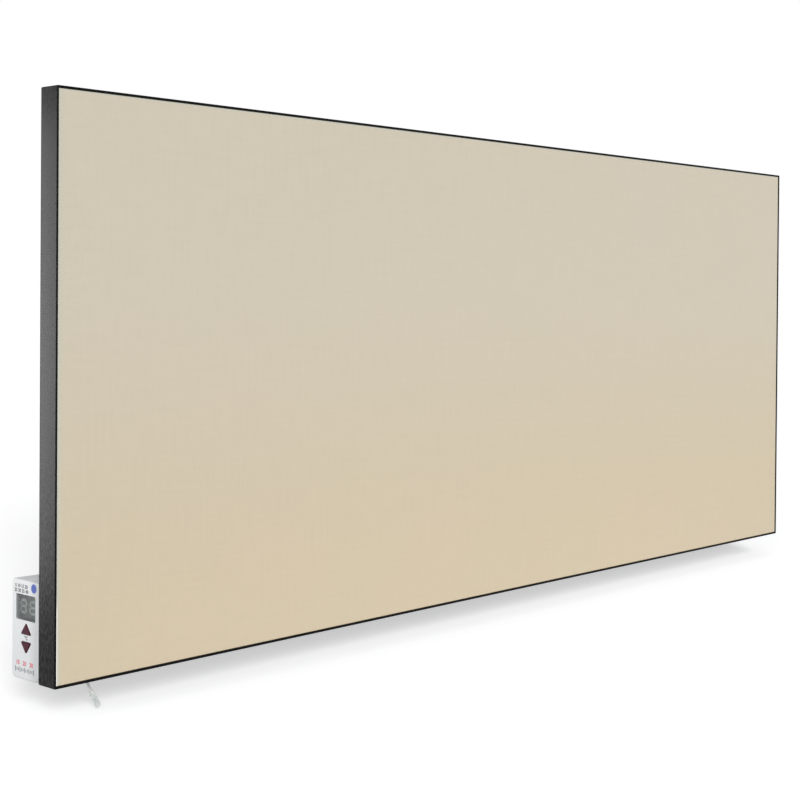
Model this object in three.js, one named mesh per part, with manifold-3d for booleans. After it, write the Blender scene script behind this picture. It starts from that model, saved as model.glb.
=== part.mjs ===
// A wall-hung electric panel heater: a porcelain tile, warmed from behind by a resistance cable, in a
// slim folded steel frame, with a digital control box and an air probe behind its lower left corner.
// Millimetres. X runs along the panel, Y into the wall and Z up.
// The origin lies on the wall, midway between the two keyholes, where the wall screws carry the panel.

import * as THREE from "three";
import { mergeVertices } from "three/addons/utils/BufferGeometryUtils.js";
import Module from "manifold-3d";

// The panel as a whole.
const panelWidth = 1200;
const panelHeight = 500;
const panelDepth = 25;
const wallGap = 45;
const hangDrop = 170;

// Clearances that pieces share, and how far a cut runs past its piece.
const seatGap = 0.3;
const slideGap = 0.35;
const overrun = 2;

// Numbers of facets.
const roundSides = 24;
const smallSides = 12;
const tubeSides = 6;
const arcSteps = 3;
const turnSteps = 8;
const leadSteps = 20;

// The folded steel frame.
const frameWall = 1.8;
const frameFlange = 14;
const frameBend = 3;
const frameEdge = 0.5;

// The porcelain tile, and the silicone bead that bonds it into the frame.
const tileThickness = 9;
const tileRecess = 0.8;
const tileJoint = 0.4;
const tileArris = 0.8;
const beadSize = 4;

// The heating cable's serpentine.
const cableRadius = 1.1;
const cableRows = 12;
const cableMargin = 40;
const cableReturnMargin = 25;

// The reflector sheet and the insulation board behind it.
const reflectorThickness = 0.5;
const boardMargin = 15.5;
const notchWidth = 94.5;
const notchHeight = 66.5;
const notchRadius = 4;

// The rear cover: a sheet steel pan with pressed ribs.
const coverMargin = 5;
const coverSheet = 1.2;
const coverRim = 10;
const coverSlope = 2;
const coverScrewColumns = 4;
const coverScrewEndInset = 80;
const coverScrewInset = 10;
const ribCount = 4;
const ribPitch = 100;
const ribLength = 580;
const ribWidth = 18;
const ribHeight = 1.8;
const ribSlope = 3;

// Pan head screws.
const screwHeadRadius = 3.5;
const screwHeadHeight = 2.2;
const screwShankRadius = 1.75;
const screwLength = 9;
const screwRecessWidth = 0.9;
const screwRecessLength = 4.2;
const screwRecessDepth = 1.2;

// The wall brackets: two hangers with keyholes above, two plain stand-offs below.
const bracketSpacing = 700;
const bracketWeb = 44;
const bracketFlange = 15;
const bracketSheet = 1.5;
const bracketBend = 3;
const hangerBelow = 50;
const hangerAbove = 30;
const standoffLength = 60;
const standoffDrop = 160;
const keyholeRadius = 6;
const keyholeSlotRadius = 3.2;
const keyholeDrop = 16;

// The control box. Its own frame has x towards the wall, y up and z into the box from its face.
const controlInset = 1.5;
const controlWidth = 38;
const controlHeight = 85;
const controlDepth = 62;
const controlWall = 2.2;
const controlCorner = 4;
const controlEdge = 1.6;
const partingDepth = 14;
const lipThickness = 1;
const lipReach = 1.8;
const lipRoot = 2.5;

// The two corners where bosses, towers and screws hold the box together.
const bossInset = 6.4;
const bossRadius = 3;
const bossPilotDepth = 8;
const towerRadius = 4.2;
const towerSeatDepth = 24;
const boxScrewHeadRadius = 2.7;
const boxScrewHeadHeight = 1.8;
const boxScrewRadius = 1.4;
const boxScrewLength = 18;

// The display: a tinted window in the face, and the digit module behind it.
const windowWidth = 28.3;
const windowHeight = 21;
const windowCorner = 1.2;
const windowOffset = -0.95;
const windowRise = 61.5;
const windowFlange = 1.1;
const windowFlangeThickness = 1;
const moduleWidth = 25;
const moduleHeight = 19;
const moduleOffset = 0.8;
const moduleEdge = 0.4;

// The two triangular buttons and the switches under them.
const buttonBase = 14.4;
const buttonHeight = 9.4;
const buttonCorner = 0.7;
const buttonGap = 6.6;
const buttonRise = 35.75;
const buttonOffset = -2.2;
const buttonProud = 0.8;
const buttonChamfer = 0.4;
const buttonFlange = 1.1;
const buttonFlangeThickness = 1.2;
const buttonStemRadius = 2;
const buttonTravel = 0.5;
const switchSize = 6.2;
const switchHeight = 3.2;
const plungerRadius = 1.7;
const plungerProud = 1.8;

// The circuit board and what stands on its rear side.
const circuitThickness = 1.6;
const circuitMargin = 4.2;
const circuitCorner = 1.5;
const relayWidth = 15.4;
const relayHeight = 19;
const relayDepth = 15.4;
const relayRise = 53.5;
const relayOffset = -3;
const capacitorWidth = 17;
const capacitorHeight = 8;
const capacitorDepth = 14;
const capacitorRise = 69.5;
const capacitorOffset = 1.5;
const componentEdge = 0.6;
const terminalPoles = 5;
const terminalPitch = 5;
const terminalWidth = 8;
const terminalDepth = 10;
const terminalRise = 24.5;
const terminalEntryRise = 4;
const terminalEntryRadius = 1.6;
const terminalEntryDepth = 3;
const terminalWellRadius = 1.7;
const terminalWellDepth = 2.5;

// The screws that fix the box to the panel, and the earth lug under the lower one.
const mountScrewRise = 9;
const mountScrewDepth = 26;
const upperScrewRise = 62;
const upperScrewDepth = 35;
const footRadius = 5;
const lugThickness = 0.8;
const lugRadius = 4.4;
const lugReach = 5.6;
const lugBarrelRadius = 1.8;
const lugBarrelLength = 6;

// The opening that the heater leads take from the panel into the box, and its grommet.
const passRise = 36;
const passDepth = 34;
const passRadius = 5;
const grommetBore = 4.5;
const grommetNeck = 6;
const grommetFlange = 8;
const grommetFlangeThickness = 1.2;

// The leads, splices and thermal cut-out in the board's notch.
const leadRadius = 1.2;
const leadSpacing = 5;
const leadBendShare = 0.45;
const spliceRadius = 2;
const spliceLength = 16;
const cutoutLength = 20;
const cutoutWidth = 7.6;
const cutoutThickness = 3.6;
const cableStartMargin = 100;
const cableEndMargin = 65;

// The gland for the supply cord.
const glandRise = 28;
const glandOffset = 2;
const glandNeckRadius = 8;
const glandNeckLength = 9;
const glandBore = 4.5;
const glandHexRadius = 12;
const glandHexLength = 5;
const glandDomeRadius = 10;
const glandDomeLength = 13;
const glandDomeMouth = 6.5;
const glandNutLength = 5;

// The air probe that slants out of the box's underside.
const probeTilt = THREE.MathUtils.degToRad(27.9);
const probeOffset = 9.2;
const probeDepth = 51.7;
const probeReach = 37.4;
const probeSleeveRadius = 2.5;
const probeSleeveWall = 0.6;
const probeSleeveLength = 16.4;
const probeShoulder = 1.5;
const probeLeadRadius = 1.25;
const probeBeadRadius = 1.3;
const probeBeadLength = 6;
const probeBeadInset = 3;
const probeGrommetNeck = 4.6;
const probeGrommetFlange = 6;
const probeGrommetThickness = 1.3;
const probeLeadRise = 44;
const probeLeadOffset = 9.5;
const probeLeadStraight = 7;

// Finishes: colour, roughness and metalness.
const finishes = {
  frameCoat: [0x474546, 0.62, 0.35],
  porcelain: [0xd5c8ad, 0.42, 0],
  silicone: [0x2c2926, 0.7, 0],
  heaterSheath: [0x8c3b2c, 0.6, 0],
  foil: [0xc9cbcd, 0.3, 0.9],
  board: [0xd9d3bf, 0.95, 0],
  coverCoat: [0x3f3e3f, 0.6, 0.35],
  zinc: [0xb4b6b8, 0.38, 0.85],
  boxPlastic: [0xdde1e1, 0.5, 0],
  tintedWindow: [0x6d7774, 0.15, 0],
  darkPlastic: [0x26292b, 0.55, 0],
  buttonPlastic: [0x64182f, 0.45, 0],
  circuit: [0x2f6b46, 0.6, 0],
  relayPlastic: [0x2f5fa8, 0.45, 0],
  capacitorPlastic: [0xb58a3a, 0.5, 0],
  terminalPlastic: [0x3c8f62, 0.5, 0],
  rubber: [0x24221f, 0.85, 0],
  leadRed: [0x8e2f28, 0.6, 0],
  leadBlue: [0x2f5f9a, 0.6, 0],
  leadEarth: [0x7d9a35, 0.6, 0],
  glandPlastic: [0x8b8f92, 0.55, 0],
  probeClear: [0xc9d3cf, 0.2, 0],
  probeJacket: [0xe6e6e2, 0.5, 0],
  probeBead: [0x3a3f3c, 0.5, 0],
};

const wasm = await Module();
wasm.setup();

// Points along an arc, both ends included.
function arcPoints(centreX, centreY, radius, start, end, steps = arcSteps) {
  const points = [];
  for (let step = 0; step <= steps; step += 1) {
    const angle = start + ((end - start) * step) / steps;
    points.push(new THREE.Vector2(centreX + radius * Math.cos(angle), centreY + radius * Math.sin(angle)));
  }
  return points;
}

// A full circle as an outline.
function circle(centreX, centreY, radius, sides = smallSides) {
  return arcPoints(centreX, centreY, radius, 0, 2 * Math.PI, sides).slice(0, -1);
}

// The four corners of a rectangle.
function rectangle(width, height, centreX = 0, centreY = 0) {
  const signs = [[-1, -1], [1, -1], [1, 1], [-1, 1]];
  return signs.map(([a, b]) => new THREE.Vector2(centreX + (a * width) / 2, centreY + (b * height) / 2));
}

// Rounds a convex polygon's corners; an offset moves the whole outline outwards, its arcs included.
function roundedOutline(corners, radius, offset = 0) {
  const count = corners.length;
  const points = [];
  corners.forEach((corner, at) => {
    const arriving = corner.clone().sub(corners[(at + count - 1) % count]).normalize();
    const leaving = corners[(at + 1) % count].clone().sub(corner).normalize();
    const start = Math.atan2(-arriving.x, arriving.y);
    const turn = Math.acos(THREE.MathUtils.clamp(arriving.dot(leaving), -1, 1));
    const inward = leaving.clone().sub(arriving).normalize();
    const centre = corner.clone().addScaledVector(inward, radius / Math.cos(turn / 2));
    points.push(...arcPoints(centre.x, centre.y, radius + offset, start, start + turn));
  });
  return points;
}

// Turns a closed mesh into a solid, with its faces pointing outwards.
function toSolid(geometry) {
  const bare = geometry.index ? geometry.toNonIndexed() : geometry.clone();
  bare.deleteAttribute("normal");
  bare.deleteAttribute("uv");
  const merged = mergeVertices(bare);
  const place = merged.attributes.position;
  const corners = Array.from(merged.index.array);
  const triangles = [];
  let volume = 0;
  for (let at = 0; at < corners.length; at += 3) {
    const [a, b, c] = corners.slice(at, at + 3);
    if (a !== b && b !== c && c !== a) {
      triangles.push(a, b, c);
      const [p, q, r] = [a, b, c].map((corner) => new THREE.Vector3().fromBufferAttribute(place, corner));
      volume += p.dot(q.cross(r));
    }
  }
  if (volume < 0) {
    triangles.reverse();
  }
  return new wasm.Manifold(
    new wasm.Mesh({ numProp: 3, vertProperties: place.array, triVerts: new Uint32Array(triangles) }),
  );
}

// Skins a run of rings with equal point counts. A loop closes on its first ring, others get end caps.
function skin(rings, startOutline, endOutline) {
  const count = rings[0].length;
  const isLoop = !startOutline;
  const index = [];
  const spans = isLoop ? rings.length : rings.length - 1;
  for (let span = 0; span < spans; span += 1) {
    const near = span * count;
    const far = ((span + 1) % rings.length) * count;
    for (let at = 0; at < count; at += 1) {
      const next = (at + 1) % count;
      index.push(near + at, near + next, far + next, near + at, far + next, far + at);
    }
  }
  if (!isLoop) {
    const last = (rings.length - 1) * count;
    THREE.ShapeUtils.triangulateShape(startOutline, []).forEach(([a, b, c]) => index.push(c, b, a));
    THREE.ShapeUtils.triangulateShape(endOutline, []).forEach(([a, b, c]) => {
      index.push(last + a, last + b, last + c);
    });
  }
  const geometry = new THREE.BufferGeometry();
  const places = rings.flat().flatMap((point) => point.toArray());
  geometry.setAttribute("position", new THREE.Float32BufferAttribute(places, 3));
  geometry.setIndex(index);
  return toSolid(geometry);
}

// A solid through a run of flat outlines, each a pair of outline and height.
function loft(levels) {
  const rings = levels.map(([outline, z]) => outline.map((point) => new THREE.Vector3(point.x, point.y, z)));
  return skin(rings, levels[0][0], levels[levels.length - 1][0]);
}

// A straight prism between two heights. On the x axis the outline lies in y and z, on y in x and z.
function prism(outline, from, to, axis = "z") {
  const place = {
    x: (point, height) => new THREE.Vector3(height, point.x, point.y),
    y: (point, height) => new THREE.Vector3(point.x, height, point.y),
    z: (point, height) => new THREE.Vector3(point.x, point.y, height),
  }[axis];
  const rings = [from, to].map((height) => outline.map((point) => place(point, height)));
  return skin(rings, outline, outline);
}

// A sheet section, given as insets and heights, mitred round a rectangle into a closed frame.
function mitredLoop(section, width, height) {
  const rings = section.map(({ x: inset, y: z }) =>
    rectangle(width - 2 * inset, height - 2 * inset).map((point) => new THREE.Vector3(point.x, point.y, z)));
  return skin(rings);
}

// A solid turned about the z axis, from a profile of radii and heights that starts and ends on the axis.
function turned(profile, sides = smallSides) {
  const points = profile.map(([radius, z]) => new THREE.Vector2(radius, z));
  return toSolid(new THREE.LatheGeometry(points, sides).rotateX(Math.PI / 2));
}

// A ring turned about the z axis, from a closed profile of radii and heights.
function turnedRing(profile, sides = smallSides) {
  return turned([...profile, profile[0]], sides);
}

// A round tube along a curve.
function tubeAlong(path, radius, steps = leadSteps) {
  const section = new THREE.Shape(circle(0, 0, radius, tubeSides));
  return toSolid(new THREE.ExtrudeGeometry(section, { steps, extrudePath: path, bevelEnabled: false }));
}

// A round tube along points in one level plane, square to the run at each point.
function levelTube(points, z, radius, sides) {
  const rings = points.map((point, at) => {
    const before = points[Math.max(at - 1, 0)];
    const after = points[Math.min(at + 1, points.length - 1)];
    const arriving = point.clone().sub(before).normalize();
    const leaving = after.clone().sub(point).normalize();
    const along = arriving.add(leaving).normalize();
    return circle(0, 0, radius, sides).map((spot) =>
      new THREE.Vector3(point.x - spot.x * along.y, point.y + spot.x * along.x, z + spot.y));
  });
  const cap = circle(0, 0, radius, sides);
  return skin(rings, cap, cap);
}

// Adds a named piece, with a material of its own, to its group.
function addPiece(parent, name, solid, finish) {
  const mesh = solid.getMesh();
  const geometry = new THREE.BufferGeometry();
  geometry.setAttribute("position", new THREE.BufferAttribute(Float32Array.from(mesh.vertProperties), 3));
  geometry.setIndex(new THREE.BufferAttribute(Uint32Array.from(mesh.triVerts), 1));
  const [color, roughness, metalness] = finishes[finish];
  const piece = new THREE.Mesh(geometry, new THREE.MeshStandardMaterial({ color, roughness, metalness }));
  piece.name = name;
  parent.add(piece);
  return piece;
}

// The panel's own frame: x along the panel, y up from its centre, z forward from its back plane.
const group = new THREE.Group();
const panel = new THREE.Group();
panel.position.set(0, -wallGap, -hangDrop);
panel.rotation.x = Math.PI / 2;
group.add(panel);

// Heights of the layers above the panel's back plane.
const tileFront = panelDepth - tileRecess;
const tileBack = tileFront - tileThickness;
const cableHeight = tileBack - seatGap - cableRadius;
const reflectorFront = cableHeight - cableRadius - seatGap;
const reflectorBack = reflectorFront - reflectorThickness;
const boardFront = reflectorBack - seatGap;
const coverFieldFront = frameWall;
const coverFieldBack = coverFieldFront - coverSheet;
const boardBack = coverFieldFront + seatGap;
const coverRimBack = -seatGap - coverSheet;
const spliceHeight = tileBack - seatGap - spliceRadius;
const bracketScrewSeat = coverFieldBack - 2 * seatGap - bracketSheet;

// The control box's own frame, behind the panel's lower left corner.
const control = new THREE.Group();
const controlOrigin = new THREE.Vector3(
  -panelWidth / 2 + controlInset,
  -panelHeight / 2,
  coverRimBack - seatGap,
);
control.position.copy(controlOrigin);
control.rotation.y = Math.PI / 2;
panel.add(control);

// A place given in the control box's frame, in the panel's frame.
function fromControl(x, y, z) {
  return new THREE.Vector3(controlOrigin.x + z, controlOrigin.y + y, controlOrigin.z - x);
}

// A screw with a pan head and a cross recess: its head's underside at height zero, its tip forward.
function panScrew(headRadius, headHeight, shankRadius, length, recessLength) {
  const crownShare = 0.7;
  const screw = turned([
    [0, length],
    [shankRadius, length - shankRadius],
    [shankRadius, 0],
    [headRadius, 0],
    [headRadius, -headHeight / 2],
    [headRadius * crownShare, -headHeight],
    [0, -headHeight],
  ]);
  const bar = rectangle(recessLength, screwRecessWidth);
  const crossBar = rectangle(screwRecessWidth, recessLength);
  const floor = screwRecessDepth - headHeight;
  const recess = prism(bar, floor, -headHeight - overrun).add(prism(crossBar, floor, -headHeight - overrun));
  return screw.subtract(recess);
}

// Where the rear cover's screws, the brackets' screws and the box's two screws enter the panel.
function coverScrewPlaces() {
  const places = [];
  const reach = panelWidth / 2 - coverScrewEndInset;
  for (let column = 0; column < coverScrewColumns; column += 1) {
    const x = -reach + (2 * reach * column) / (coverScrewColumns - 1);
    const y = panelHeight / 2 - coverScrewInset;
    places.push(new THREE.Vector2(x, -y), new THREE.Vector2(x, y));
  }
  return places;
}

const bracketXs = [-bracketSpacing / 2, bracketSpacing / 2];
const hangerY = hangDrop + (hangerAbove - hangerBelow) / 2;

function bracketScrewPlaces() {
  const arm = (bracketWeb + bracketFlange) / 2;
  return bracketXs.flatMap((x) => [hangerY, -standoffDrop].flatMap((y) => [
    new THREE.Vector2(x - arm, y),
    new THREE.Vector2(x + arm, y),
  ]));
}

const lowerMount = fromControl(0, mountScrewRise, mountScrewDepth);
const upperMount = fromControl(0, upperScrewRise, upperScrewDepth);
const passPlace = fromControl(0, passRise, passDepth);
const holeRadius = screwShankRadius + seatGap;

// The frame: one folded section, mitred at the corners, with holes for the screws in its rear flange.
const frameSection = [
  ...arcPoints(frameBend, frameBend, frameBend, 1.5 * Math.PI, Math.PI),
  ...arcPoints(frameEdge, panelDepth - frameEdge, frameEdge, Math.PI, Math.PI / 2),
  ...arcPoints(frameWall - frameEdge, panelDepth - frameEdge, frameEdge, Math.PI / 2, 0),
  ...arcPoints(frameBend, frameBend, frameBend - frameWall, Math.PI, 1.5 * Math.PI),
  new THREE.Vector2(frameFlange, frameWall),
  new THREE.Vector2(frameFlange, 0),
];
let frame = mitredLoop(frameSection, panelWidth, panelHeight);
[...coverScrewPlaces(), lowerMount].forEach(({ x, y }) => {
  frame = frame.subtract(prism(circle(x, y, holeRadius), -overrun, frameWall + overrun));
});
addPiece(panel, "frame", frame, "frameCoat");

// The tile, with a small arris round its front.
const tileInset = frameWall + tileJoint;
const tileOutline = rectangle(panelWidth - 2 * tileInset, panelHeight - 2 * tileInset);
const tileFaceOutline = rectangle(
  panelWidth - 2 * (tileInset + tileArris),
  panelHeight - 2 * (tileInset + tileArris),
);
const tile = loft([
  [tileOutline, tileBack],
  [tileOutline, tileFront - tileArris],
  [tileFaceOutline, tileFront],
]);
addPiece(panel, "ceramic_tile", tile, "porcelain");

// The silicone bead, a fillet in the corner between the tile's back and the frame.
const beadInset = frameWall + seatGap;
const beadTop = tileBack - seatGap;
const beadSection = [
  new THREE.Vector2(beadInset, beadTop),
  new THREE.Vector2(beadInset + beadSize, beadTop),
  new THREE.Vector2(beadInset, beadTop - beadSize),
];
addPiece(panel, "tile_bond_bead", mitredLoop(beadSection, panelWidth, panelHeight), "silicone");

// The heating cable: rows to and fro across the tile, then one return run down the left side.
const cableLeft = -panelWidth / 2 + cableMargin;
const cableRight = -cableLeft;
const cableBottom = -panelHeight / 2 + cableMargin;
const rowPitch = (panelHeight - 2 * cableMargin) / (cableRows - 1);
const turnRadius = rowPitch / 2;
const cableReturnX = -panelWidth / 2 + cableReturnMargin;
const cableStart = new THREE.Vector2(-panelWidth / 2 + cableStartMargin, cableBottom);
const cableEnd = new THREE.Vector2(cableReturnX, -panelHeight / 2 + cableEndMargin);

function cableRoute() {
  const route = [cableStart];
  for (let row = 0; row < cableRows - 1; row += 1) {
    const turnY = cableBottom + (row + 0.5) * rowPitch;
    const goesRight = row % 2 === 0;
    const turnX = goesRight ? cableRight - turnRadius : cableLeft + turnRadius;
    const sweep = goesRight ? Math.PI : -Math.PI;
    route.push(...arcPoints(turnX, turnY, turnRadius, -Math.PI / 2, -Math.PI / 2 + sweep, turnSteps));
  }
  const top = cableBottom + (cableRows - 1) * rowPitch;
  const lastX = cableReturnX + turnRadius;
  route.push(...arcPoints(lastX, top - turnRadius, turnRadius, Math.PI / 2, Math.PI, turnSteps));
  route.push(cableEnd);
  return route;
}

const cable = levelTube(cableRoute(), cableHeight, cableRadius, tubeSides);
addPiece(panel, "heating_cable", cable, "heaterSheath");

// The reflector sheet and the insulation board, both notched at the lower left for the wiring.
function notchedOutline() {
  const [left, bottom] = [-panelWidth / 2 + boardMargin, -panelHeight / 2 + boardMargin];
  const notchX = left + notchWidth;
  const notchY = bottom + notchHeight;
  return [
    new THREE.Vector2(notchX, bottom),
    new THREE.Vector2(-left, bottom),
    new THREE.Vector2(-left, -bottom),
    new THREE.Vector2(left, -bottom),
    new THREE.Vector2(left, notchY),
    ...arcPoints(notchX - notchRadius, notchY - notchRadius, notchRadius, Math.PI / 2, 0),
  ];
}

addPiece(panel, "reflector_sheet", prism(notchedOutline(), reflectorBack, reflectorFront), "foil");

let board = prism(notchedOutline(), boardBack, boardFront);
bracketScrewPlaces().forEach(({ x, y }) => {
  const hole = prism(circle(x, y, holeRadius), boardBack - overrun, bracketScrewSeat + screwLength + seatGap);
  board = board.subtract(hole);
});
addPiece(panel, "insulation_board", board, "board");

// The rear cover: a shallow pan whose rim lies on the frame's flange and whose field backs the board.
function coverOutline(inset) {
  return rectangle(panelWidth - 2 * inset, panelHeight - 2 * inset);
}

function rib(y, inset, base, top) {
  const corners = rectangle(ribLength, ribWidth, 0, y);
  const foot = roundedOutline(corners, ribWidth / 2, -inset);
  const crest = roundedOutline(corners, ribWidth / 2, -inset - ribSlope);
  return loft([[foot, base], [crest, top]]);
}

const coverDish = coverMargin + coverRim;
const sheetShift = coverSheet / 2;
let cover = loft([
  [coverOutline(coverDish + coverSlope), coverFieldFront],
  [coverOutline(coverDish), -seatGap],
  [coverOutline(coverMargin), -seatGap],
  [coverOutline(coverMargin), coverRimBack],
  [coverOutline(coverDish + sheetShift), coverRimBack],
  [coverOutline(coverDish + coverSlope + sheetShift), coverFieldBack],
]);
for (let at = 0; at < ribCount; at += 1) {
  const y = (at - (ribCount - 1) / 2) * ribPitch;
  cover = cover.add(rib(y, 0, coverFieldBack, coverFieldBack - ribHeight));
  cover = cover.subtract(rib(y, sheetShift, coverFieldFront, coverFieldFront - ribHeight));
}
[...coverScrewPlaces(), ...bracketScrewPlaces(), lowerMount, upperMount].forEach(({ x, y }) => {
  cover = cover.subtract(prism(circle(x, y, holeRadius), coverRimBack - overrun, coverFieldFront + overrun));
});
const passHole = circle(passPlace.x, passPlace.y, grommetNeck + seatGap, roundSides);
cover = cover.subtract(prism(passHole, coverRimBack - overrun, coverFieldFront + overrun));
addPiece(panel, "rear_cover", cover, "coverCoat");

const coverScrew = panScrew(
  screwHeadRadius, screwHeadHeight, screwShankRadius, screwLength, screwRecessLength,
);
coverScrewPlaces().forEach(({ x, y }, at) => {
  const screw = addPiece(panel, `cover_screw_${at + 1}`, coverScrew, "zinc");
  screw.position.set(x, y, coverRimBack - seatGap);
});

// The wall brackets: hat sections in folded sheet, drawn as x against distance behind the back plane.
function hatSection() {
  const half = bracketWeb / 2;
  const flangeFront = -coverFieldBack + seatGap;
  const flangeBack = flangeFront + bracketSheet;
  const inner = bracketBend - bracketSheet;
  const side = [
    new THREE.Vector2(half + bracketFlange, flangeFront),
    new THREE.Vector2(half + bracketFlange, flangeBack),
    ...arcPoints(half + inner, flangeBack + inner, inner, 1.5 * Math.PI, Math.PI),
    ...arcPoints(half - bracketBend, wallGap - bracketBend, bracketBend, 0, Math.PI / 2),
  ];
  const inside = [
    ...arcPoints(half - bracketBend, wallGap - bracketBend, inner, Math.PI / 2, 0),
    ...arcPoints(half + inner, flangeBack + inner, bracketBend, Math.PI, 1.5 * Math.PI),
  ];
  const mirrored = (points) => points.map(({ x, y }) => new THREE.Vector2(-x, y)).reverse();
  return [...side, ...mirrored(side), ...mirrored(inside), ...inside];
}

// The keyhole: a round mouth for the wall screw's head, and a slot up to where its shank rests.
function keyholeOutline(y) {
  const opening = Math.asin(keyholeSlotRadius / keyholeRadius);
  const start = Math.PI / 2 + opening;
  return [
    ...arcPoints(0, y, keyholeSlotRadius, 0, Math.PI, turnSteps / 2),
    ...arcPoints(0, y - keyholeDrop, keyholeRadius, start, start + 2 * (Math.PI - opening), smallSides),
  ];
}

function bracket(bottom, top) {
  const section = hatSection();
  const rings = [bottom, top].map((y) => section.map((point) => new THREE.Vector3(point.x, y, -point.y)));
  let hat = skin(rings, section, section);
  const arm = (bracketWeb + bracketFlange) / 2;
  [-arm, arm].forEach((x) => {
    hat = hat.subtract(prism(circle(x, (bottom + top) / 2, holeRadius), -wallGap / 2, coverFieldBack));
  });
  return hat;
}

const keyhole = prism(keyholeOutline(hangDrop), -wallGap - overrun, -wallGap + bracketSheet + overrun);
const hanger = bracket(hangDrop - hangerBelow, hangDrop + hangerAbove).subtract(keyhole);
const standoff = bracket(-standoffDrop - standoffLength / 2, -standoffDrop + standoffLength / 2);
bracketXs.forEach((x, at) => {
  const side = at === 0 ? "left" : "right";
  addPiece(panel, `hanger_${side}`, hanger, "zinc").position.x = x;
  addPiece(panel, `standoff_${side}`, standoff, "zinc").position.x = x;
});
bracketScrewPlaces().forEach(({ x, y }, at) => {
  const screw = addPiece(panel, `bracket_screw_${at + 1}`, coverScrew, "zinc");
  screw.position.set(x, y, bracketScrewSeat);
});

// The control box's outline, moved inwards by an inset, and the rounding of its two flat ends.
const boxCentreX = controlWidth / 2;
const boxCentreY = controlHeight / 2;

function boxOutline(inset = 0) {
  const corners = rectangle(controlWidth, controlHeight, boxCentreX, boxCentreY);
  return roundedOutline(corners, controlCorner, -inset);
}

function roundedEnd(end, direction) {
  const edge = arcPoints(controlEdge, controlEdge, controlEdge, 1.5 * Math.PI, Math.PI);
  return edge.map(({ x: inset, y: rise }) => [boxOutline(inset), end + direction * rise]);
}

// Depths inside the box, measured from its face.
const circuitBack = partingDepth - seatGap;
const circuitFront = circuitBack - circuitThickness;
const componentFloor = circuitBack + seatGap;
const baseFront = partingDepth + seatGap;
const wallBack = controlWall + seatGap;
const switchFront = circuitFront - seatGap - switchHeight;
const plungerFront = switchFront - plungerProud;

// The two corners where a boss, a tower and a screw stand in line.
const pilotRadius = boxScrewRadius + seatGap;
const bossPlaces = [
  new THREE.Vector2(controlWidth - bossInset, bossInset),
  new THREE.Vector2(bossInset, controlHeight - bossInset),
];

// Corners of the window and of the two buttons, drawn on the face. The signs are 1 for up, -1 for down.
const windowCorners = rectangle(windowWidth, windowHeight, boxCentreX + windowOffset, windowRise);
const buttonNames = new Map([[1, "up"], [-1, "down"]]);
const buttonCentreX = boxCentreX + buttonOffset;

function buttonCorners(sign) {
  const base = buttonRise + (sign * buttonGap) / 2;
  const corners = [
    new THREE.Vector2(buttonCentreX - buttonBase / 2, base),
    new THREE.Vector2(buttonCentreX + buttonBase / 2, base),
    new THREE.Vector2(buttonCentreX, base + sign * buttonHeight),
  ];
  return sign > 0 ? corners : corners.reverse();
}

function buttonCentreY(sign) {
  return buttonRise + sign * (buttonGap / 2 + buttonHeight / 3);
}

// The box's cover: a thin shell with rounded edges, openings for window and buttons, and two bosses.
let controlCover = loft([...roundedEnd(0, 1), [boxOutline(), partingDepth]]);
controlCover = controlCover.subtract(prism(boxOutline(controlWall), controlWall, partingDepth + overrun));
const windowOpening = roundedOutline(windowCorners, windowCorner, slideGap);
controlCover = controlCover.subtract(prism(windowOpening, -overrun, controlWall + overrun));
for (const sign of buttonNames.keys()) {
  const opening = roundedOutline(buttonCorners(sign), buttonCorner, slideGap);
  controlCover = controlCover.subtract(prism(opening, -overrun, controlWall + overrun));
}
for (const { x, y } of bossPlaces) {
  const boss = prism(circle(x, y, bossRadius, roundSides), controlWall / 2, circuitFront - seatGap);
  const pilot = prism(circle(x, y, pilotRadius), circuitFront - bossPilotDepth, circuitFront + overrun);
  controlCover = controlCover.add(boss).subtract(pilot);
}
addPiece(control, "control_cover", controlCover, "boxPlastic");

// The box's base: a deeper shell with a lip inside the cover, and two towers that carry the circuit board.
const lipInset = controlWall + seatGap;
const lipRing = prism(boxOutline(lipInset), partingDepth - lipReach, baseFront + lipRoot)
  .add(prism(boxOutline(controlWall / 2), baseFront, baseFront + lipRoot))
  .subtract(prism(boxOutline(lipInset + lipThickness), -overrun, controlDepth));
let controlBase = loft([[boxOutline(), baseFront], ...roundedEnd(controlDepth, -1).reverse()]);
controlBase = controlBase
  .subtract(prism(boxOutline(controlWall), baseFront - overrun, controlDepth - controlWall))
  .add(lipRing);
for (const { x, y } of bossPlaces) {
  const cornerX = x > boxCentreX ? controlWidth - controlWall : controlWall;
  const cornerY = y > boxCentreY ? controlHeight - controlWall : controlWall;
  const web = rectangle(Math.abs(x - cornerX), Math.abs(y - cornerY), (x + cornerX) / 2, (y + cornerY) / 2);
  const towerEnd = controlDepth - controlWall / 2;
  const tower = prism(circle(x, y, towerRadius, roundSides), componentFloor, towerEnd)
    .add(prism(web, componentFloor, towerEnd));
  const bore = prism(circle(x, y, pilotRadius), componentFloor - overrun, controlDepth + overrun);
  const headBore = circle(x, y, boxScrewHeadRadius + seatGap, roundSides);
  const counterbore = prism(headBore, towerSeatDepth, controlDepth + overrun);
  controlBase = controlBase.add(tower).subtract(bore).subtract(counterbore);
}
// A foot that reaches the rear cover's field, and the holes for the fixing screws and the heater leads.
const footReach = coverFieldBack - coverRimBack;
const foot = circle(upperScrewRise, upperScrewDepth, footRadius, roundSides);
controlBase = controlBase.add(prism(foot, -footReach, controlWall / 2, "x"));
[
  circle(mountScrewRise, mountScrewDepth, holeRadius),
  circle(upperScrewRise, upperScrewDepth, holeRadius),
  circle(passRise, passDepth, passRadius, roundSides),
].forEach((hole) => {
  controlBase = controlBase.subtract(prism(hole, -footReach - overrun, controlWall + overrun, "x"));
});
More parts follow.
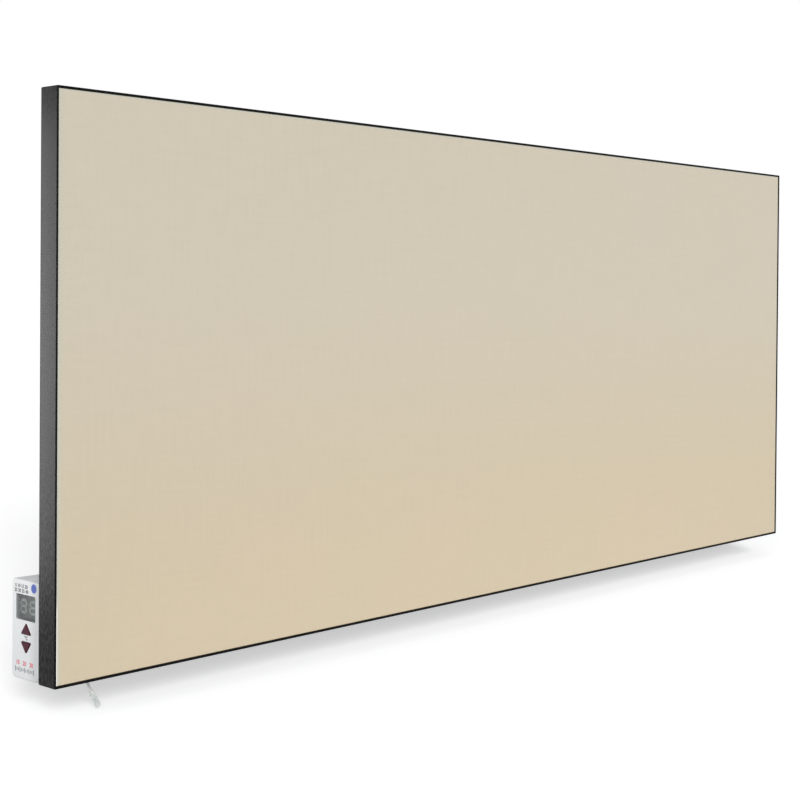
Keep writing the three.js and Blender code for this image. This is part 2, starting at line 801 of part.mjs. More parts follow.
// The gland's hole in the far end and the probe grommet's hole in the underside.
const glandX = boxCentreX + glandOffset;
const glandHole = circle(glandX, glandRise, glandNeckRadius + seatGap, roundSides);
const probeHole = circle(probeOffset, probeDepth, probeGrommetNeck + seatGap, roundSides);
controlBase = controlBase
  .subtract(prism(glandHole, controlDepth - controlWall - overrun, controlDepth + overrun))
  .subtract(prism(probeHole, -overrun, controlWall + overrun, "y"));
addPiece(control, "control_base", controlBase, "boxPlastic");

const boxScrew = panScrew(
  boxScrewHeadRadius, boxScrewHeadHeight, boxScrewRadius, boxScrewLength, boxScrewHeadRadius,
);
bossPlaces.forEach(({ x, y }, at) => {
  const screw = addPiece(control, `box_screw_${at + 1}`, boxScrew, "zinc");
  screw.position.set(x, y, towerSeatDepth + seatGap);
  screw.rotation.x = Math.PI;
});

// The screws through the box's side into the panel, the lower one with the earth lug under its head.
const lugBack = wallBack + lugThickness;
const mountScrews = [
  new THREE.Vector3(lugBack + seatGap, mountScrewRise, mountScrewDepth),
  new THREE.Vector3(wallBack, upperScrewRise, upperScrewDepth),
];
mountScrews.forEach((place, at) => {
  const screw = addPiece(control, `mount_screw_${at + 1}`, coverScrew, "zinc");
  screw.position.copy(place);
  screw.rotation.y = -Math.PI / 2;
});
const lugBarrelX = wallBack + lugBarrelRadius;
const lugBarrelFoot = mountScrewRise + lugReach;
const lugTongue = rectangle(lugReach + lugBarrelRadius, lugBarrelRadius * 2, 0, mountScrewDepth);
lugTongue.forEach((corner) => {
  corner.x += mountScrewRise + (lugReach + lugBarrelRadius) / 2;
});
const earthLug = prism(circle(mountScrewRise, mountScrewDepth, lugRadius, roundSides), wallBack, lugBack, "x")
  .add(prism(lugTongue, wallBack, lugBack, "x"))
  .add(prism(
    circle(lugBarrelX, mountScrewDepth, lugBarrelRadius), lugBarrelFoot, lugBarrelFoot + lugBarrelLength, "y",
  ))
  .subtract(prism(circle(mountScrewRise, mountScrewDepth, holeRadius), 0, lugBack + overrun, "x"));
addPiece(control, "earth_lug", earthLug, "zinc");

// The tinted window, set into its opening from behind and held there by its flange.
const windowPlug = roundedOutline(windowCorners, windowCorner);
const windowSkirt = roundedOutline(windowCorners, windowCorner, windowFlange);
const windowBack = wallBack + windowFlangeThickness;
const displayWindow = loft([
  [windowPlug, seatGap],
  [windowPlug, wallBack],
  [windowSkirt, wallBack],
  [windowSkirt, windowBack],
]);
addPiece(control, "display_window", displayWindow, "tintedWindow");

// The two-digit display module, between the window and the circuit board.
const moduleCorners = rectangle(moduleWidth, moduleHeight, boxCentreX + moduleOffset, windowRise);
const moduleOutline = roundedOutline(moduleCorners, moduleEdge);
const displayModule = prism(moduleOutline, windowBack + seatGap, circuitFront - seatGap);
addPiece(control, "display_module", displayModule, "darkPlastic");

// The circuit board, held between the cover's bosses and the base's towers.
const circuitCorners = rectangle(
  controlWidth - 2 * circuitMargin, controlHeight - 2 * circuitMargin, boxCentreX, boxCentreY,
);
let circuitBoard = prism(roundedOutline(circuitCorners, circuitCorner), circuitFront, circuitBack);
for (const { x, y } of bossPlaces) {
  circuitBoard = circuitBoard.subtract(prism(circle(x, y, pilotRadius), 0, controlDepth));
}
addPiece(control, "circuit_board", circuitBoard, "circuit");

// Each button is a triangular cap with a flange behind the face and a stem down to its switch plunger.
buttonNames.forEach((name, sign) => {
  const corners = buttonCorners(sign);
  const cap = roundedOutline(corners, buttonCorner);
  const flange = roundedOutline(corners, buttonCorner, buttonFlange);
  const flangeBack = wallBack + buttonFlangeThickness;
  const [x, y] = [buttonCentreX, buttonCentreY(sign)];
  const button = loft([
    [roundedOutline(corners, buttonCorner, -buttonChamfer), -buttonProud],
    [cap, -buttonProud + buttonChamfer],
    [cap, wallBack],
    [flange, wallBack],
    [flange, flangeBack],
  ]).add(prism(circle(x, y, buttonStemRadius), wallBack, plungerFront - seatGap));
  addPiece(control, `button_${name}`, button, "buttonPlastic");

  const plungerBack = switchFront + switchHeight / 2;
  const plunger = prism(circle(x, y, plungerRadius), plungerFront, plungerBack);
  addPiece(control, `switch_plunger_${name}`, plunger, "darkPlastic");

  const well = circle(x, y, plungerRadius + slideGap);
  const tactSwitch = prism(rectangle(switchSize, switchSize, x, y), switchFront, circuitFront - seatGap)
    .subtract(prism(well, switchFront - overrun, plungerBack + buttonTravel + seatGap));
  addPiece(control, `tact_switch_${name}`, tactSwitch, "zinc");
});

// Parts on the circuit board's rear side: a relay, a dropper capacitor and the screw terminal.
function component(width, height, depth, x, y) {
  const corners = rectangle(width, height, x, y);
  const body = roundedOutline(corners, componentEdge);
  const crest = roundedOutline(corners, componentEdge, -componentEdge / 2);
  return loft([
    [body, componentFloor],
    [body, componentFloor + depth - componentEdge / 2],
    [crest, componentFloor + depth],
  ]);
}

const relay = component(relayWidth, relayHeight, relayDepth, boxCentreX + relayOffset, relayRise);
addPiece(control, "relay", relay, "relayPlastic");

const capacitor = component(
  capacitorWidth, capacitorHeight, capacitorDepth, boxCentreX + capacitorOffset, capacitorRise,
);
addPiece(control, "supply_capacitor", capacitor, "capacitorPlastic");

const terminalFront = boxCentreX - terminalWidth / 2;
const terminalTop = componentFloor + terminalDepth;

function poleY(pole) {
  return terminalRise + (pole - (terminalPoles - 1) / 2) * terminalPitch;
}

function poleEntry(pole) {
  return new THREE.Vector3(terminalFront - seatGap, poleY(pole), componentFloor + terminalEntryRise);
}

const terminalOutline = rectangle(terminalWidth, terminalPoles * terminalPitch, boxCentreX, terminalRise);
let terminal = prism(terminalOutline, componentFloor, terminalTop);
const wiredPoles = [2, 3, 4];
for (let pole = 0; pole < terminalPoles; pole += 1) {
  const well = circle(boxCentreX, poleY(pole), terminalWellRadius);
  terminal = terminal.subtract(prism(well, terminalTop - terminalWellDepth, terminalTop + overrun));
  if (!wiredPoles.includes(pole)) {
    const entry = circle(poleY(pole), componentFloor + terminalEntryRise, terminalEntryRadius);
    terminal = terminal.subtract(
      prism(entry, terminalFront - overrun, terminalFront + terminalEntryDepth, "x"),
    );
  }
}
addPiece(control, "control_terminal", terminal, "terminalPlastic");

// The gland for the supply cord, hidden at the box's far end, and its lock nut inside the wall.
const glandHex = circle(0, 0, glandHexRadius, 6);
const glandInner = -controlWall - glandNeckLength;
const hexBack = seatGap + glandHexLength;
const cableGland = prism(circle(0, 0, glandNeckRadius, roundSides), glandInner, hexBack)
  .add(prism(glandHex, seatGap, hexBack))
  .add(turned([
    [0, hexBack - seatGap],
    [glandDomeRadius, hexBack - seatGap],
    [glandDomeRadius, hexBack + glandDomeLength / 2],
    ...arcPoints(0, 0, 1, 0, Math.PI / 2).map(({ x, y }) => [
      glandDomeMouth + (glandDomeRadius - glandDomeMouth) * x,
      hexBack + (glandDomeLength * (1 + y)) / 2,
    ]),
    [0, hexBack + glandDomeLength],
  ], roundSides))
  .subtract(prism(circle(0, 0, glandBore, roundSides), glandInner - overrun, hexBack + 2 * glandDomeLength));
addPiece(control, "cable_gland", cableGland, "glandPlastic").position.set(glandX, glandRise, controlDepth);

const nutFront = -controlWall - seatGap;
const glandNut = prism(glandHex, nutFront - glandNutLength, nutFront)
  .subtract(prism(circle(0, 0, glandNeckRadius + seatGap, roundSides), -controlDepth, 0));
addPiece(control, "gland_nut", glandNut, "glandPlastic").position.set(glandX, glandRise, controlDepth);

// The grommet that lines the rear cover's hole for the heater leads.
const wireGrommet = turnedRing([
  [grommetBore, coverFieldBack - seatGap - grommetFlangeThickness],
  [grommetFlange, coverFieldBack - seatGap - grommetFlangeThickness],
  [grommetFlange, coverFieldBack - seatGap],
  [grommetNeck, coverFieldBack - seatGap],
  [grommetNeck, coverFieldFront + seatGap],
  [grommetFlange, coverFieldFront + seatGap],
  [grommetFlange, coverFieldFront + seatGap + grommetFlangeThickness],
  [grommetBore, coverFieldFront + seatGap + grommetFlangeThickness],
], roundSides);
addPiece(panel, "wire_grommet", wireGrommet, "rubber").position.set(passPlace.x, passPlace.y, 0);

// Splices at the two cable ends, and the thermal cut-out in line with the first.
const spliceTube = turned([[0, 0], [spliceRadius, 0], [spliceRadius, spliceLength], [0, spliceLength]]);
const firstSplice = addPiece(panel, "splice_sleeve_1", spliceTube, "silicone");
firstSplice.position.set(cableStart.x - seatGap, cableStart.y, spliceHeight);
firstSplice.rotation.y = -Math.PI / 2;
const secondSplice = addPiece(panel, "splice_sleeve_2", spliceTube, "silicone");
secondSplice.position.set(cableEnd.x, cableEnd.y - seatGap, spliceHeight);
secondSplice.rotation.x = Math.PI / 2;

const cutoutRight = cableStart.x - 2 * seatGap - spliceLength;
const cutoutPlan = roundedOutline(
  rectangle(cutoutLength, cutoutWidth, cutoutRight - cutoutLength / 2, cableStart.y), componentEdge,
);
const cutoutFront = tileBack - seatGap;
addPiece(panel, "thermal_cutout", prism(cutoutPlan, cutoutFront - cutoutThickness, cutoutFront), "zinc");

// A lead's route through stops, each a place, a direction of travel and the reach of its bends.
function leadRoute(stops) {
  const route = new THREE.CurvePath();
  for (let at = 1; at < stops.length; at += 1) {
    const [start, heading, startReach] = stops[at - 1];
    const [end, arrival, endReach] = stops[at];
    const leave = start.clone().addScaledVector(heading, startReach);
    const arrive = end.clone().addScaledVector(arrival, -endReach);
    route.add(new THREE.CubicBezierCurve3(start, leave, arrive, end));
  }
  return route;
}

// The two heater leads: from the cut-out and the second splice, through the grommet, to their poles.
const rearwards = new THREE.Vector3(0, 0, -1);
const passTop = coverFieldFront + seatGap + grommetFlangeThickness + seatGap;
const passReach = spliceHeight - passTop;

function heaterLead(start, heading, shift, pole) {
  const gate = new THREE.Vector3(passPlace.x, passPlace.y + shift, passTop);
  const inside = fromControl(controlWall + seatGap, passRise + shift, passDepth);
  const entry = poleEntry(pole);
  const end = fromControl(entry.x, entry.y, entry.z);
  const innerReach = leadBendShare * inside.distanceTo(end);
  const passage = leadBendShare * gate.distanceTo(inside);
  const outerReach = leadBendShare * start.distanceTo(gate);
  const first = leadRoute([[start, heading, outerReach], [gate, rearwards, passReach]]);
  const through = leadRoute([[gate, rearwards, passage], [inside, rearwards, passage]]);
  const last = leadRoute([[inside, rearwards, innerReach], [end, rearwards, innerReach]]);
  const route = new THREE.CurvePath();
  [first, through, last].forEach((part) => part.curves.forEach((curve) => route.add(curve)));
  return tubeAlong(route, leadRadius);
}

const cutoutEnd = new THREE.Vector3(cutoutRight - cutoutLength - seatGap, cableStart.y, spliceHeight);
const leftwards = new THREE.Vector3(-1, 0, 0);
const liveLead = heaterLead(cutoutEnd, leftwards, leadSpacing / 2, 4);
addPiece(panel, "heater_lead_live", liveLead, "leadRed");

const spliceEnd = new THREE.Vector3(
  cableEnd.x, cableEnd.y - 2 * seatGap - spliceLength, spliceHeight,
);
const downwards = new THREE.Vector3(0, -1, 0);
const neutralLead = heaterLead(spliceEnd, downwards, -leadSpacing / 2, 3);
addPiece(panel, "heater_lead_neutral", neutralLead, "leadBlue");

// The earth lead, from the lug's barrel up to the middle pole.
const lugTop = new THREE.Vector3(lugBarrelX, lugBarrelFoot + lugBarrelLength + seatGap, mountScrewDepth);
const earthEntry = poleEntry(2);
const earthReach = leadBendShare * lugTop.distanceTo(earthEntry);
const earthRoute = leadRoute([
  [lugTop, new THREE.Vector3(0, 1, 0), earthReach],
  [earthEntry, new THREE.Vector3(1, 0, 0), earthReach],
]);
addPiece(control, "earth_lead", tubeAlong(earthRoute, leadRadius), "leadEarth");

// The air probe: an open clear sleeve round a sensor bead, on a jacketed lead from the circuit board.
const probeRoot = new THREE.Vector3(probeOffset, 0, probeDepth);
const probeHeading = new THREE.Vector3(0, -Math.cos(probeTilt), Math.sin(probeTilt));
const sleeveTop = probeReach - probeSleeveLength;
const sleeveBore = probeSleeveRadius - probeSleeveWall;
const probeLeadHole = probeLeadRadius + seatGap;
const sleeveEdge = probeSleeveWall / 2;
const probe = new THREE.Group();
probe.position.copy(probeRoot);
probe.quaternion.setFromUnitVectors(new THREE.Vector3(0, 0, 1), probeHeading);
control.add(probe);
const sensorSleeve = turnedRing([
  [probeLeadHole, sleeveTop],
  [probeSleeveRadius - probeSleeveWall, sleeveTop],
  [probeSleeveRadius, sleeveTop + probeSleeveWall],
  [probeSleeveRadius, probeReach - sleeveEdge],
  [probeSleeveRadius - sleeveEdge, probeReach],
  [sleeveBore, probeReach],
  [sleeveBore, sleeveTop + probeShoulder],
  [probeLeadHole, sleeveTop + probeShoulder],
], roundSides);
addPiece(probe, "sensor_sleeve", sensorSleeve, "probeClear");

const beadEnd = probeReach - probeBeadInset;
const beadStart = beadEnd - probeBeadLength;
const beadProfile = arcPoints(0, 0, 1, -Math.PI / 2, Math.PI / 2, turnSteps).map(({ x, y }) => [
  probeBeadRadius * x,
  beadEnd + ((y - 1) * probeBeadLength) / 2,
]);
addPiece(probe, "sensor_bead", turned(beadProfile), "probeBead");

const probeInner = probeRoot.clone().addScaledVector(probeHeading, -probeLeadStraight);
const probeLeadStart = new THREE.Vector3(boxCentreX + probeLeadOffset, probeLeadRise, componentFloor);
const probeLeadEnd = probeRoot.clone().addScaledVector(probeHeading, beadStart - seatGap);
const sensorReach = leadBendShare * probeLeadStart.distanceTo(probeInner);
const straightReach = leadBendShare * probeInner.distanceTo(probeLeadEnd);
const sensorRoute = leadRoute([
  [probeLeadStart, new THREE.Vector3(0, 0, 1), sensorReach],
  [probeInner, probeHeading, sensorReach],
]);
sensorRoute.add(leadRoute([
  [probeInner, probeHeading, straightReach],
  [probeLeadEnd, probeHeading, straightReach],
]).curves[0]);
addPiece(control, "sensor_lead", tubeAlong(sensorRoute, probeLeadRadius), "probeJacket");

// The grommet in the underside, whose bore slants as the probe does.
const boreStart = probeRoot.clone().addScaledVector(probeHeading, -probeGrommetFlange * 2);
const boreEnd = probeRoot.clone().addScaledVector(probeHeading, probeGrommetFlange * 2);
const slantBore = tubeAlong(new THREE.LineCurve3(boreStart, boreEnd), probeLeadHole, 1);
const grommetRing = circle(probeOffset, probeDepth, probeGrommetFlange, roundSides);
const grommetCore = circle(probeOffset, probeDepth, probeGrommetNeck, roundSides);
const probeGrommet = prism(grommetRing, -seatGap - probeGrommetThickness, -seatGap, "y")
  .add(prism(grommetCore, -2 * seatGap, wallBack + seatGap, "y"))
  .add(prism(grommetRing, wallBack, wallBack + probeGrommetThickness, "y"))
  .subtract(slantBore);
addPiece(control, "sensor_grommet", probeGrommet, "rubber");

export default group;
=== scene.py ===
import math

import bmesh
import bpy
from mathutils import Matrix, Vector


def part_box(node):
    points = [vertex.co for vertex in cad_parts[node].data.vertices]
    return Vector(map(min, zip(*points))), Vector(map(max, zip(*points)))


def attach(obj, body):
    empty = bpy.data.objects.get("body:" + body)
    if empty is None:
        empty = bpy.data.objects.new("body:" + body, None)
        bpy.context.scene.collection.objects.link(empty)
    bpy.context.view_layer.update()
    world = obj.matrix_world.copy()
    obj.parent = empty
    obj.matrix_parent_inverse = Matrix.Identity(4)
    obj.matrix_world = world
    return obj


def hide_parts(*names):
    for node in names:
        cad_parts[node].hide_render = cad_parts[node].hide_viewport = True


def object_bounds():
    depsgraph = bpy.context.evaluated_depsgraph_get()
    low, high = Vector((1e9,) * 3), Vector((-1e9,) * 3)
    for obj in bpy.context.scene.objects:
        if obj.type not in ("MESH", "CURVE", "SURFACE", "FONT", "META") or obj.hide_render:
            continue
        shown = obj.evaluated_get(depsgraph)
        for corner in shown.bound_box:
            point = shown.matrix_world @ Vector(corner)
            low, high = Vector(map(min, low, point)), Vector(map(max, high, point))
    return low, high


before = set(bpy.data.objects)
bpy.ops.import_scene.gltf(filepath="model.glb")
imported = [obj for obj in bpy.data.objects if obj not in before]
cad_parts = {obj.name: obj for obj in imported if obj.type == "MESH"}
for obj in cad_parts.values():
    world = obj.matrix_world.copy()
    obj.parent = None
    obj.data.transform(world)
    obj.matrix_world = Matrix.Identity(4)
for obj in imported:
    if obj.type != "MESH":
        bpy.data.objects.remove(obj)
scene = bpy.context.scene
cad_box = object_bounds()

# The camera stands off the panel's left end, at about half its height, and looks along it to the right.
# Its eye, turn and lens are the ones that put the panel's corners where the photograph has them.
eye = Vector((-1.3475, -1.1412, -0.0919))
azimuth, elevation, roll = (math.radians(angle) for angle in (-47.442, 0.664, 0.423))
camera_data = bpy.data.cameras.new("camera")
camera_data.sensor_width = 36
camera_data.lens = 69.57
camera_data.shift_y = -0.1077
camera = bpy.data.objects.new("camera", camera_data)
scene.collection.objects.link(camera)
scene.camera = camera

backward = Vector((
    math.sin(azimuth) * math.cos(elevation),
    -math.cos(azimuth) * math.cos(elevation),
    math.sin(elevation),
))
level_right = Vector((0, 0, 1)).cross(backward).normalized()
level_up = backward.cross(level_right)
camera_right = level_right * math.cos(roll) + level_up * math.sin(roll)
camera_up = level_up * math.cos(roll) - level_right * math.sin(roll)
turn = Matrix((camera_right, camera_up, backward)).transposed().to_4x4()
camera.matrix_world = Matrix.Translation(eye) @ turn

# The studio: a white world, a key and a broader, higher fill from over the camera's shoulder, so that the
# soft shadow falls behind the panel, and a softbox behind the left end, which the dark side face mirrors.
scene.view_settings.view_transform = "Standard"
studio = bpy.data.worlds.new("studio")
studio.use_nodes = True
scene.world = studio


def feed(socket, value):
    """Sets a socket to a value, or links it where the value is an output."""
    if isinstance(value, bpy.types.NodeSocket):
        socket.id_data.links.new(value, socket)
    else:
        socket.default_value = value


def add_node(tree, kind, inputs=(), output=0, **settings):
    """Adds a node with its settings and its inputs, in order or by name, and returns one output."""
    node = tree.nodes.new(kind)
    for name, setting in settings.items():
        setattr(node, name, setting)
    for key, value in inputs.items() if isinstance(inputs, dict) else enumerate(inputs):
        feed(node.inputs[key], value)
    return node.outputs[output]


def maths(tree, operation, *values):
    """A number worked out from others, each a number or an output."""
    return add_node(tree, "ShaderNodeMath", values, operation=operation)


def seen_directly(tree):
    """A mask that is 1 for what the camera sees, straight on or through gloss and glass."""
    ray = tree.nodes.new("ShaderNodeLightPath").outputs
    straight_or_gloss = maths(tree, "MAXIMUM", ray["Is Camera Ray"], ray["Is Glossy Ray"])
    return maths(tree, "MAXIMUM", straight_or_gloss, ray["Is Transmission Ray"])


ambient = studio.node_tree.nodes["Background"]
feed(ambient.inputs["Color"], (0.96, 0.98, 1.0, 1))
feed(ambient.inputs["Strength"], 0.11)
white = add_node(studio.node_tree, "ShaderNodeBackground", {"Color": (1, 1, 1, 1), "Strength": 1.0})
studio_light = add_node(studio.node_tree, "ShaderNodeMixShader", (
    seen_directly(studio.node_tree), ambient.outputs[0], white))
feed(studio.node_tree.nodes["World Output"].inputs["Surface"], studio_light)


def add_lamp(name, kind, energy, towards, place=(0, 0, 0)):
    """Adds a lamp that shines along a direction from a place."""
    light = bpy.data.lights.new(name, kind)
    light.energy = energy
    lamp = bpy.data.objects.new(name, light)
    scene.collection.objects.link(lamp)
    lamp.location = place
    lamp.rotation_mode = "QUATERNION"
    lamp.rotation_quaternion = Vector(towards).to_track_quat("-Z", "Y")
    return light


def add_sun(name, strength, azimuth, elevation, spread):
    """A sun seen at an azimuth and elevation from the heater, as wide as spread, all in degrees."""
    azimuth, elevation = math.radians(azimuth), math.radians(elevation)
    add_lamp(name, "SUN", strength, (
        -math.sin(azimuth) * math.cos(elevation),
        math.cos(azimuth) * math.cos(elevation),
        -math.sin(elevation),
    )).angle = math.radians(spread)


add_sun("key", strength=2.4, azimuth=-36, elevation=21.7, spread=14)
add_sun("fill", strength=1.0, azimuth=-43, elevation=35, spread=46)

# The softbox has a grid, which keeps its light on the side face and off the floor.
sheen_place = Vector((-0.952, 0.453, -0.16))
sheen_target = Vector((-0.6, -0.0575, -0.133))
sheen = add_lamp("side_sheen", "AREA", 0.106, sheen_target - sheen_place, sheen_place)
sheen.shape = "RECTANGLE"
sheen.size = 0.16
sheen.size_y = 0.57
sheen.spread = math.radians(34)

# The floor: a wide pale plane just under the probe's tip. Its glow makes it white to the eye, and it still
# keeps the heater's soft shadow.
floor_gap = 0.003
floor_size = 24
floor_glow = 0.5
floor_z = cad_box[0].z - floor_gap


def add_object(name, mesh):
    made = bpy.data.objects.new(name, mesh)
    scene.collection.objects.link(made)
    return made


def rectangle(width, height, centre_x=0.0, centre_y=0.0):
    """The corners of a rectangle, counter-clockwise."""
    signs = [(-1, -1), (1, -1), (1, 1), (-1, 1)]
    return [(centre_x + a * width / 2, centre_y + b * height / 2) for a, b in signs]


def new_material(name, colour, roughness, **settings):
    """A material of one colour. Settings are more inputs of its shader, with _ for each space."""
    material = bpy.data.materials.new(name)
    material.use_nodes = True
    shader = material.node_tree.nodes["Principled BSDF"].inputs
    feed(shader["Base Color"], (*colour, 1))
    feed(shader["Roughness"], roughness)
    for setting, value in settings.items():
        feed(shader[setting.replace("_", " ")], value)
    return material


floor_mesh = bpy.data.meshes.new("floor")
floor_corners = [(x, y, floor_z) for x, y in rectangle(floor_size, floor_size)]
floor_mesh.from_pydata(floor_corners, [], [(0, 1, 2, 3)])
floor = add_object("floor", floor_mesh)

pale_floor = new_material("pale_floor", (0.9, 0.9, 0.905), 0.9, Specular_IOR_Level=0.0)
floor_tree = pale_floor.node_tree
glow = add_node(floor_tree, "ShaderNodeEmission", {"Strength": floor_glow})
no_glow = add_node(floor_tree, "ShaderNodeEmission", {"Strength": 0.0})
glow_seen = add_node(floor_tree, "ShaderNodeMixShader", (seen_directly(floor_tree), no_glow, glow))
lit_floor = add_node(floor_tree, "ShaderNodeAddShader", (
    floor_tree.nodes["Principled BSDF"].outputs[0], glow_seen))
feed(floor_tree.nodes["Material Output"].inputs["Surface"], lit_floor)
floor_mesh.materials.append(pale_floor)

# The frame: one strip of 1.8 mm steel, folded to an L with a soft bend at the back and mitred at the
# corners, then powder coated in a dark grey hammered texture. Its colour turns blacker along the edges: the
# front lip's own black finish, and painted shade along the back bend and the ends' top and bottom edges.
mm = 0.001
frame_lo, frame_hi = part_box("frame")
panel_width = frame_hi.x - frame_lo.x
panel_height = frame_hi.z - frame_lo.z
panel_depth = frame_hi.y - frame_lo.y
panel_back = frame_hi.y
panel_centre_z = (frame_lo.z + frame_hi.z) / 2
frame_wall = 1.8 * mm
frame_flange = 14 * mm
frame_bend = 3 * mm
frame_edge = 0.5 * mm
frame_corner = 0.9 * mm
least_radius = 0.05 * mm


def on_panel(x, y, z):
    """A place x along the panel, y up from its centre and z forward of its back plane."""
    return Vector((x, panel_back - z, panel_centre_z + y))


def arc(centre_x, centre_y, radius, start, end, steps):
    """Points along an arc between two angles in degrees, both ends included."""
    angles = (math.radians(start + (end - start) * step / steps) for step in range(steps + 1))
    return [(centre_x + radius * math.cos(a), centre_y + radius * math.sin(a)) for a in angles]


def rounded_outline(corners, radius, steps, grow=0.0):
    """A convex outline with rounded corners; grow moves all of it outwards."""
    points = []
    for at, corner in enumerate(corners):
        corner = Vector(corner)
        arriving = (corner - Vector(corners[at - 1])).normalized()
        leaving = (Vector(corners[(at + 1) % len(corners)]) - corner).normalized()
        bend = math.acos(max(-1, min(1, arriving.dot(leaving))))
        centre = corner + (leaving - arriving).normalized() * radius / math.cos(bend / 2)
        start = math.degrees(math.atan2(-arriving.x, arriving.y))
        points += arc(*centre, max(radius + grow, 0), start, start + math.degrees(bend), steps)
    return points


def skin(name, rings, is_loop=False):
    """A closed mesh through rings of equal counts: a loop meets its first ring, others get end caps."""
    count = len(rings[0])
    faces = []
    for near in range(len(rings) if is_loop else len(rings) - 1):
        far = (near + 1) % len(rings)
        for at in range(count):
            after = (at + 1) % count
            faces.append([near * count + at, near * count + after, far * count + after, far * count + at])
    if not is_loop:
        faces.append(tuple(reversed(range(count))))
        faces.append(tuple(range((len(rings) - 1) * count, len(rings) * count)))
    mesh = bpy.data.meshes.new(name)
    mesh.from_pydata([tuple(point) for ring in rings for point in ring], [], faces)
    shape = bmesh.new()
    shape.from_mesh(mesh)
    bmesh.ops.remove_doubles(shape, verts=shape.verts, dist=1e-7)
    bmesh.ops.recalc_face_normals(shape, faces=shape.faces)
    shape.to_mesh(mesh)
    shape.free()
    return mesh


def apply_modifiers(made):
    """Bakes an object's modifiers into its mesh and takes them off it."""
    graph = bpy.context.evaluated_depsgraph_get()
    mesh = bpy.data.meshes.new_from_object(made.evaluated_get(graph))
    made.modifiers.clear()
    made.data = mesh


def settle(piece, material, slot, body, *nodes, crease=35):
    """Finishes a piece: its shading, its material, its body and the nodes it stands for. Its slot is not
    used.
    """
    mesh = piece.data
    mesh.polygons.foreach_set("use_smooth", [True] * len(mesh.polygons))
    mesh.set_sharp_from_angle(angle=math.radians(crease))
    piece.modifiers.new("even_normals", "WEIGHTED_NORMAL").keep_sharp = True
    if material:
        mesh.materials.clear()
        mesh.materials.append(material)
    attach(piece, body)
    if nodes:
        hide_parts(*nodes)


def new_group(name, kind, inputs, outputs):
    """An empty node group, what enters it and what leaves it. Its sockets are given as name: kind."""
    group = bpy.data.node_groups.new(name, kind)
    for direction, sockets in (("INPUT", inputs), ("OUTPUT", outputs)):
        for socket, flow in sockets.items():
            group.interface.new_socket(name=socket, in_out=direction, socket_type="NodeSocket" + flow)
    return group, group.nodes.new("NodeGroupInput").outputs, group.nodes.new("NodeGroupOutput").inputs


def mix(tree, kind, factor, first, second, blend="MIX"):
    """first, turning into second as the factor goes from 0 to 1."""
    inputs = {"Factor": factor, "A": first, "B": second}
    return add_node(tree, "ShaderNodeMix", inputs, "Result", data_type=kind, blend_type=blend)


def shade(tree, colour, amount):
    """A colour multiplied by an amount or by another colour."""
    return mix(tree, "RGBA", 1.0, colour, amount, "MULTIPLY")


def noise(tree, place, scale, detail):
    inputs = {"Vector": place, "Scale": scale, "Detail": detail}
    return add_node(tree, "ShaderNodeTexNoise", inputs, "Fac")


def eased_ramp(tree, value, start, end, low=0.0, high=1.0):
    """low up to start and high from end on, with a smooth turn at both."""
    inputs = {"Value": value, "From Min": start, "From Max": end, "To Min": low, "To Max": high}
    return add_node(tree, "ShaderNodeMapRange", inputs, interpolation_type="SMOOTHSTEP")


def object_axes(tree):
    """The model's own X, Y and Z at a point of the surface."""
    place = add_node(tree, "ShaderNodeTexCoord", output="Object")
    return add_node(tree, "ShaderNodeSeparateXYZ", [place]).node.outputs


def make_grain_group():
    """Shader group: a fine grain and a broad mottle that vary a colour, a roughness and a normal."""
    group, given, leave = new_group(
        "surface_grain", "ShaderNodeTree",
        {
            "Light": "Color", "Dark": "Color", "Scale": "Float", "Stretch": "Vector",
            "Mottle Scale": "Float", "Mottle": "Float",
            "Roughness Low": "Float", "Roughness High": "Float", "Depth": "Float",
        },
        {"Colour": "Color", "Roughness": "Float", "Normal": "Vector", "Grain": "Float"},
    )
    place = add_node(group, "ShaderNodeTexCoord", output="Object")
    stretched = add_node(group, "ShaderNodeMapping", {"Vector": place, "Scale": given["Stretch"]})
    grain = noise(group, stretched, given["Scale"], 3)
    mottle = noise(group, place, given["Mottle Scale"], 2)
    crisp = add_node(group, "ShaderNodeMapRange", {"Value": grain, "From Min": 0.3, "From Max": 0.7})
    blend = mix(group, "FLOAT", given["Mottle"], crisp, mottle)
    feed(leave["Colour"], mix(group, "RGBA", blend, given["Dark"], given["Light"]))
    feed(leave["Roughness"], add_node(group, "ShaderNodeMapRange", {
        "Value": crisp, "To Min": given["Roughness Low"], "To Max": given["Roughness High"]}))
    feed(leave["Normal"], add_node(group, "ShaderNodeBump", {"Height": crisp, "Distance": given["Depth"]}))
    feed(leave["Grain"], crisp)
    return group


grain_group = make_grain_group()
roughness_swing = 0.1


def grained(
    name, colour, spread, roughness, scale=900, stretch=(1, 1, 1), mottle_scale=30, mottle=0.3,
    depth=0.03 * mm, **settings,
):
    """A material whose colour swings by spread, with a grain of the given size and depth."""
    material = new_material(name, colour, roughness, **settings)
    grain = material.node_tree.nodes.new("ShaderNodeGroup")
    grain.name = "grain"
    grain.node_tree = grain_group
    for socket, value in (
        ("Light", (*[channel * (1 + spread) for channel in colour], 1)),
        ("Dark", (*[channel * (1 - spread) for channel in colour], 1)),
        ("Scale", scale), ("Stretch", stretch), ("Mottle Scale", mottle_scale), ("Mottle", mottle),
        ("Roughness Low", max(roughness - roughness_swing, 0)),
        ("Roughness High", min(roughness + roughness_swing, 1)), ("Depth", depth),
    ):
        feed(grain.inputs[socket], value)
    shader = material.node_tree.nodes["Principled BSDF"].inputs
    for socket, output in (("Base Color", "Colour"), ("Roughness", "Roughness"), ("Normal", "Normal")):
        feed(shader[socket], grain.outputs[output])
    return material


def nodes_of(material):
    """A grained material's node tree, its shader's inputs and its grain."""
    tree = material.node_tree
    return tree, tree.nodes["Principled BSDF"].inputs, tree.nodes["grain"]


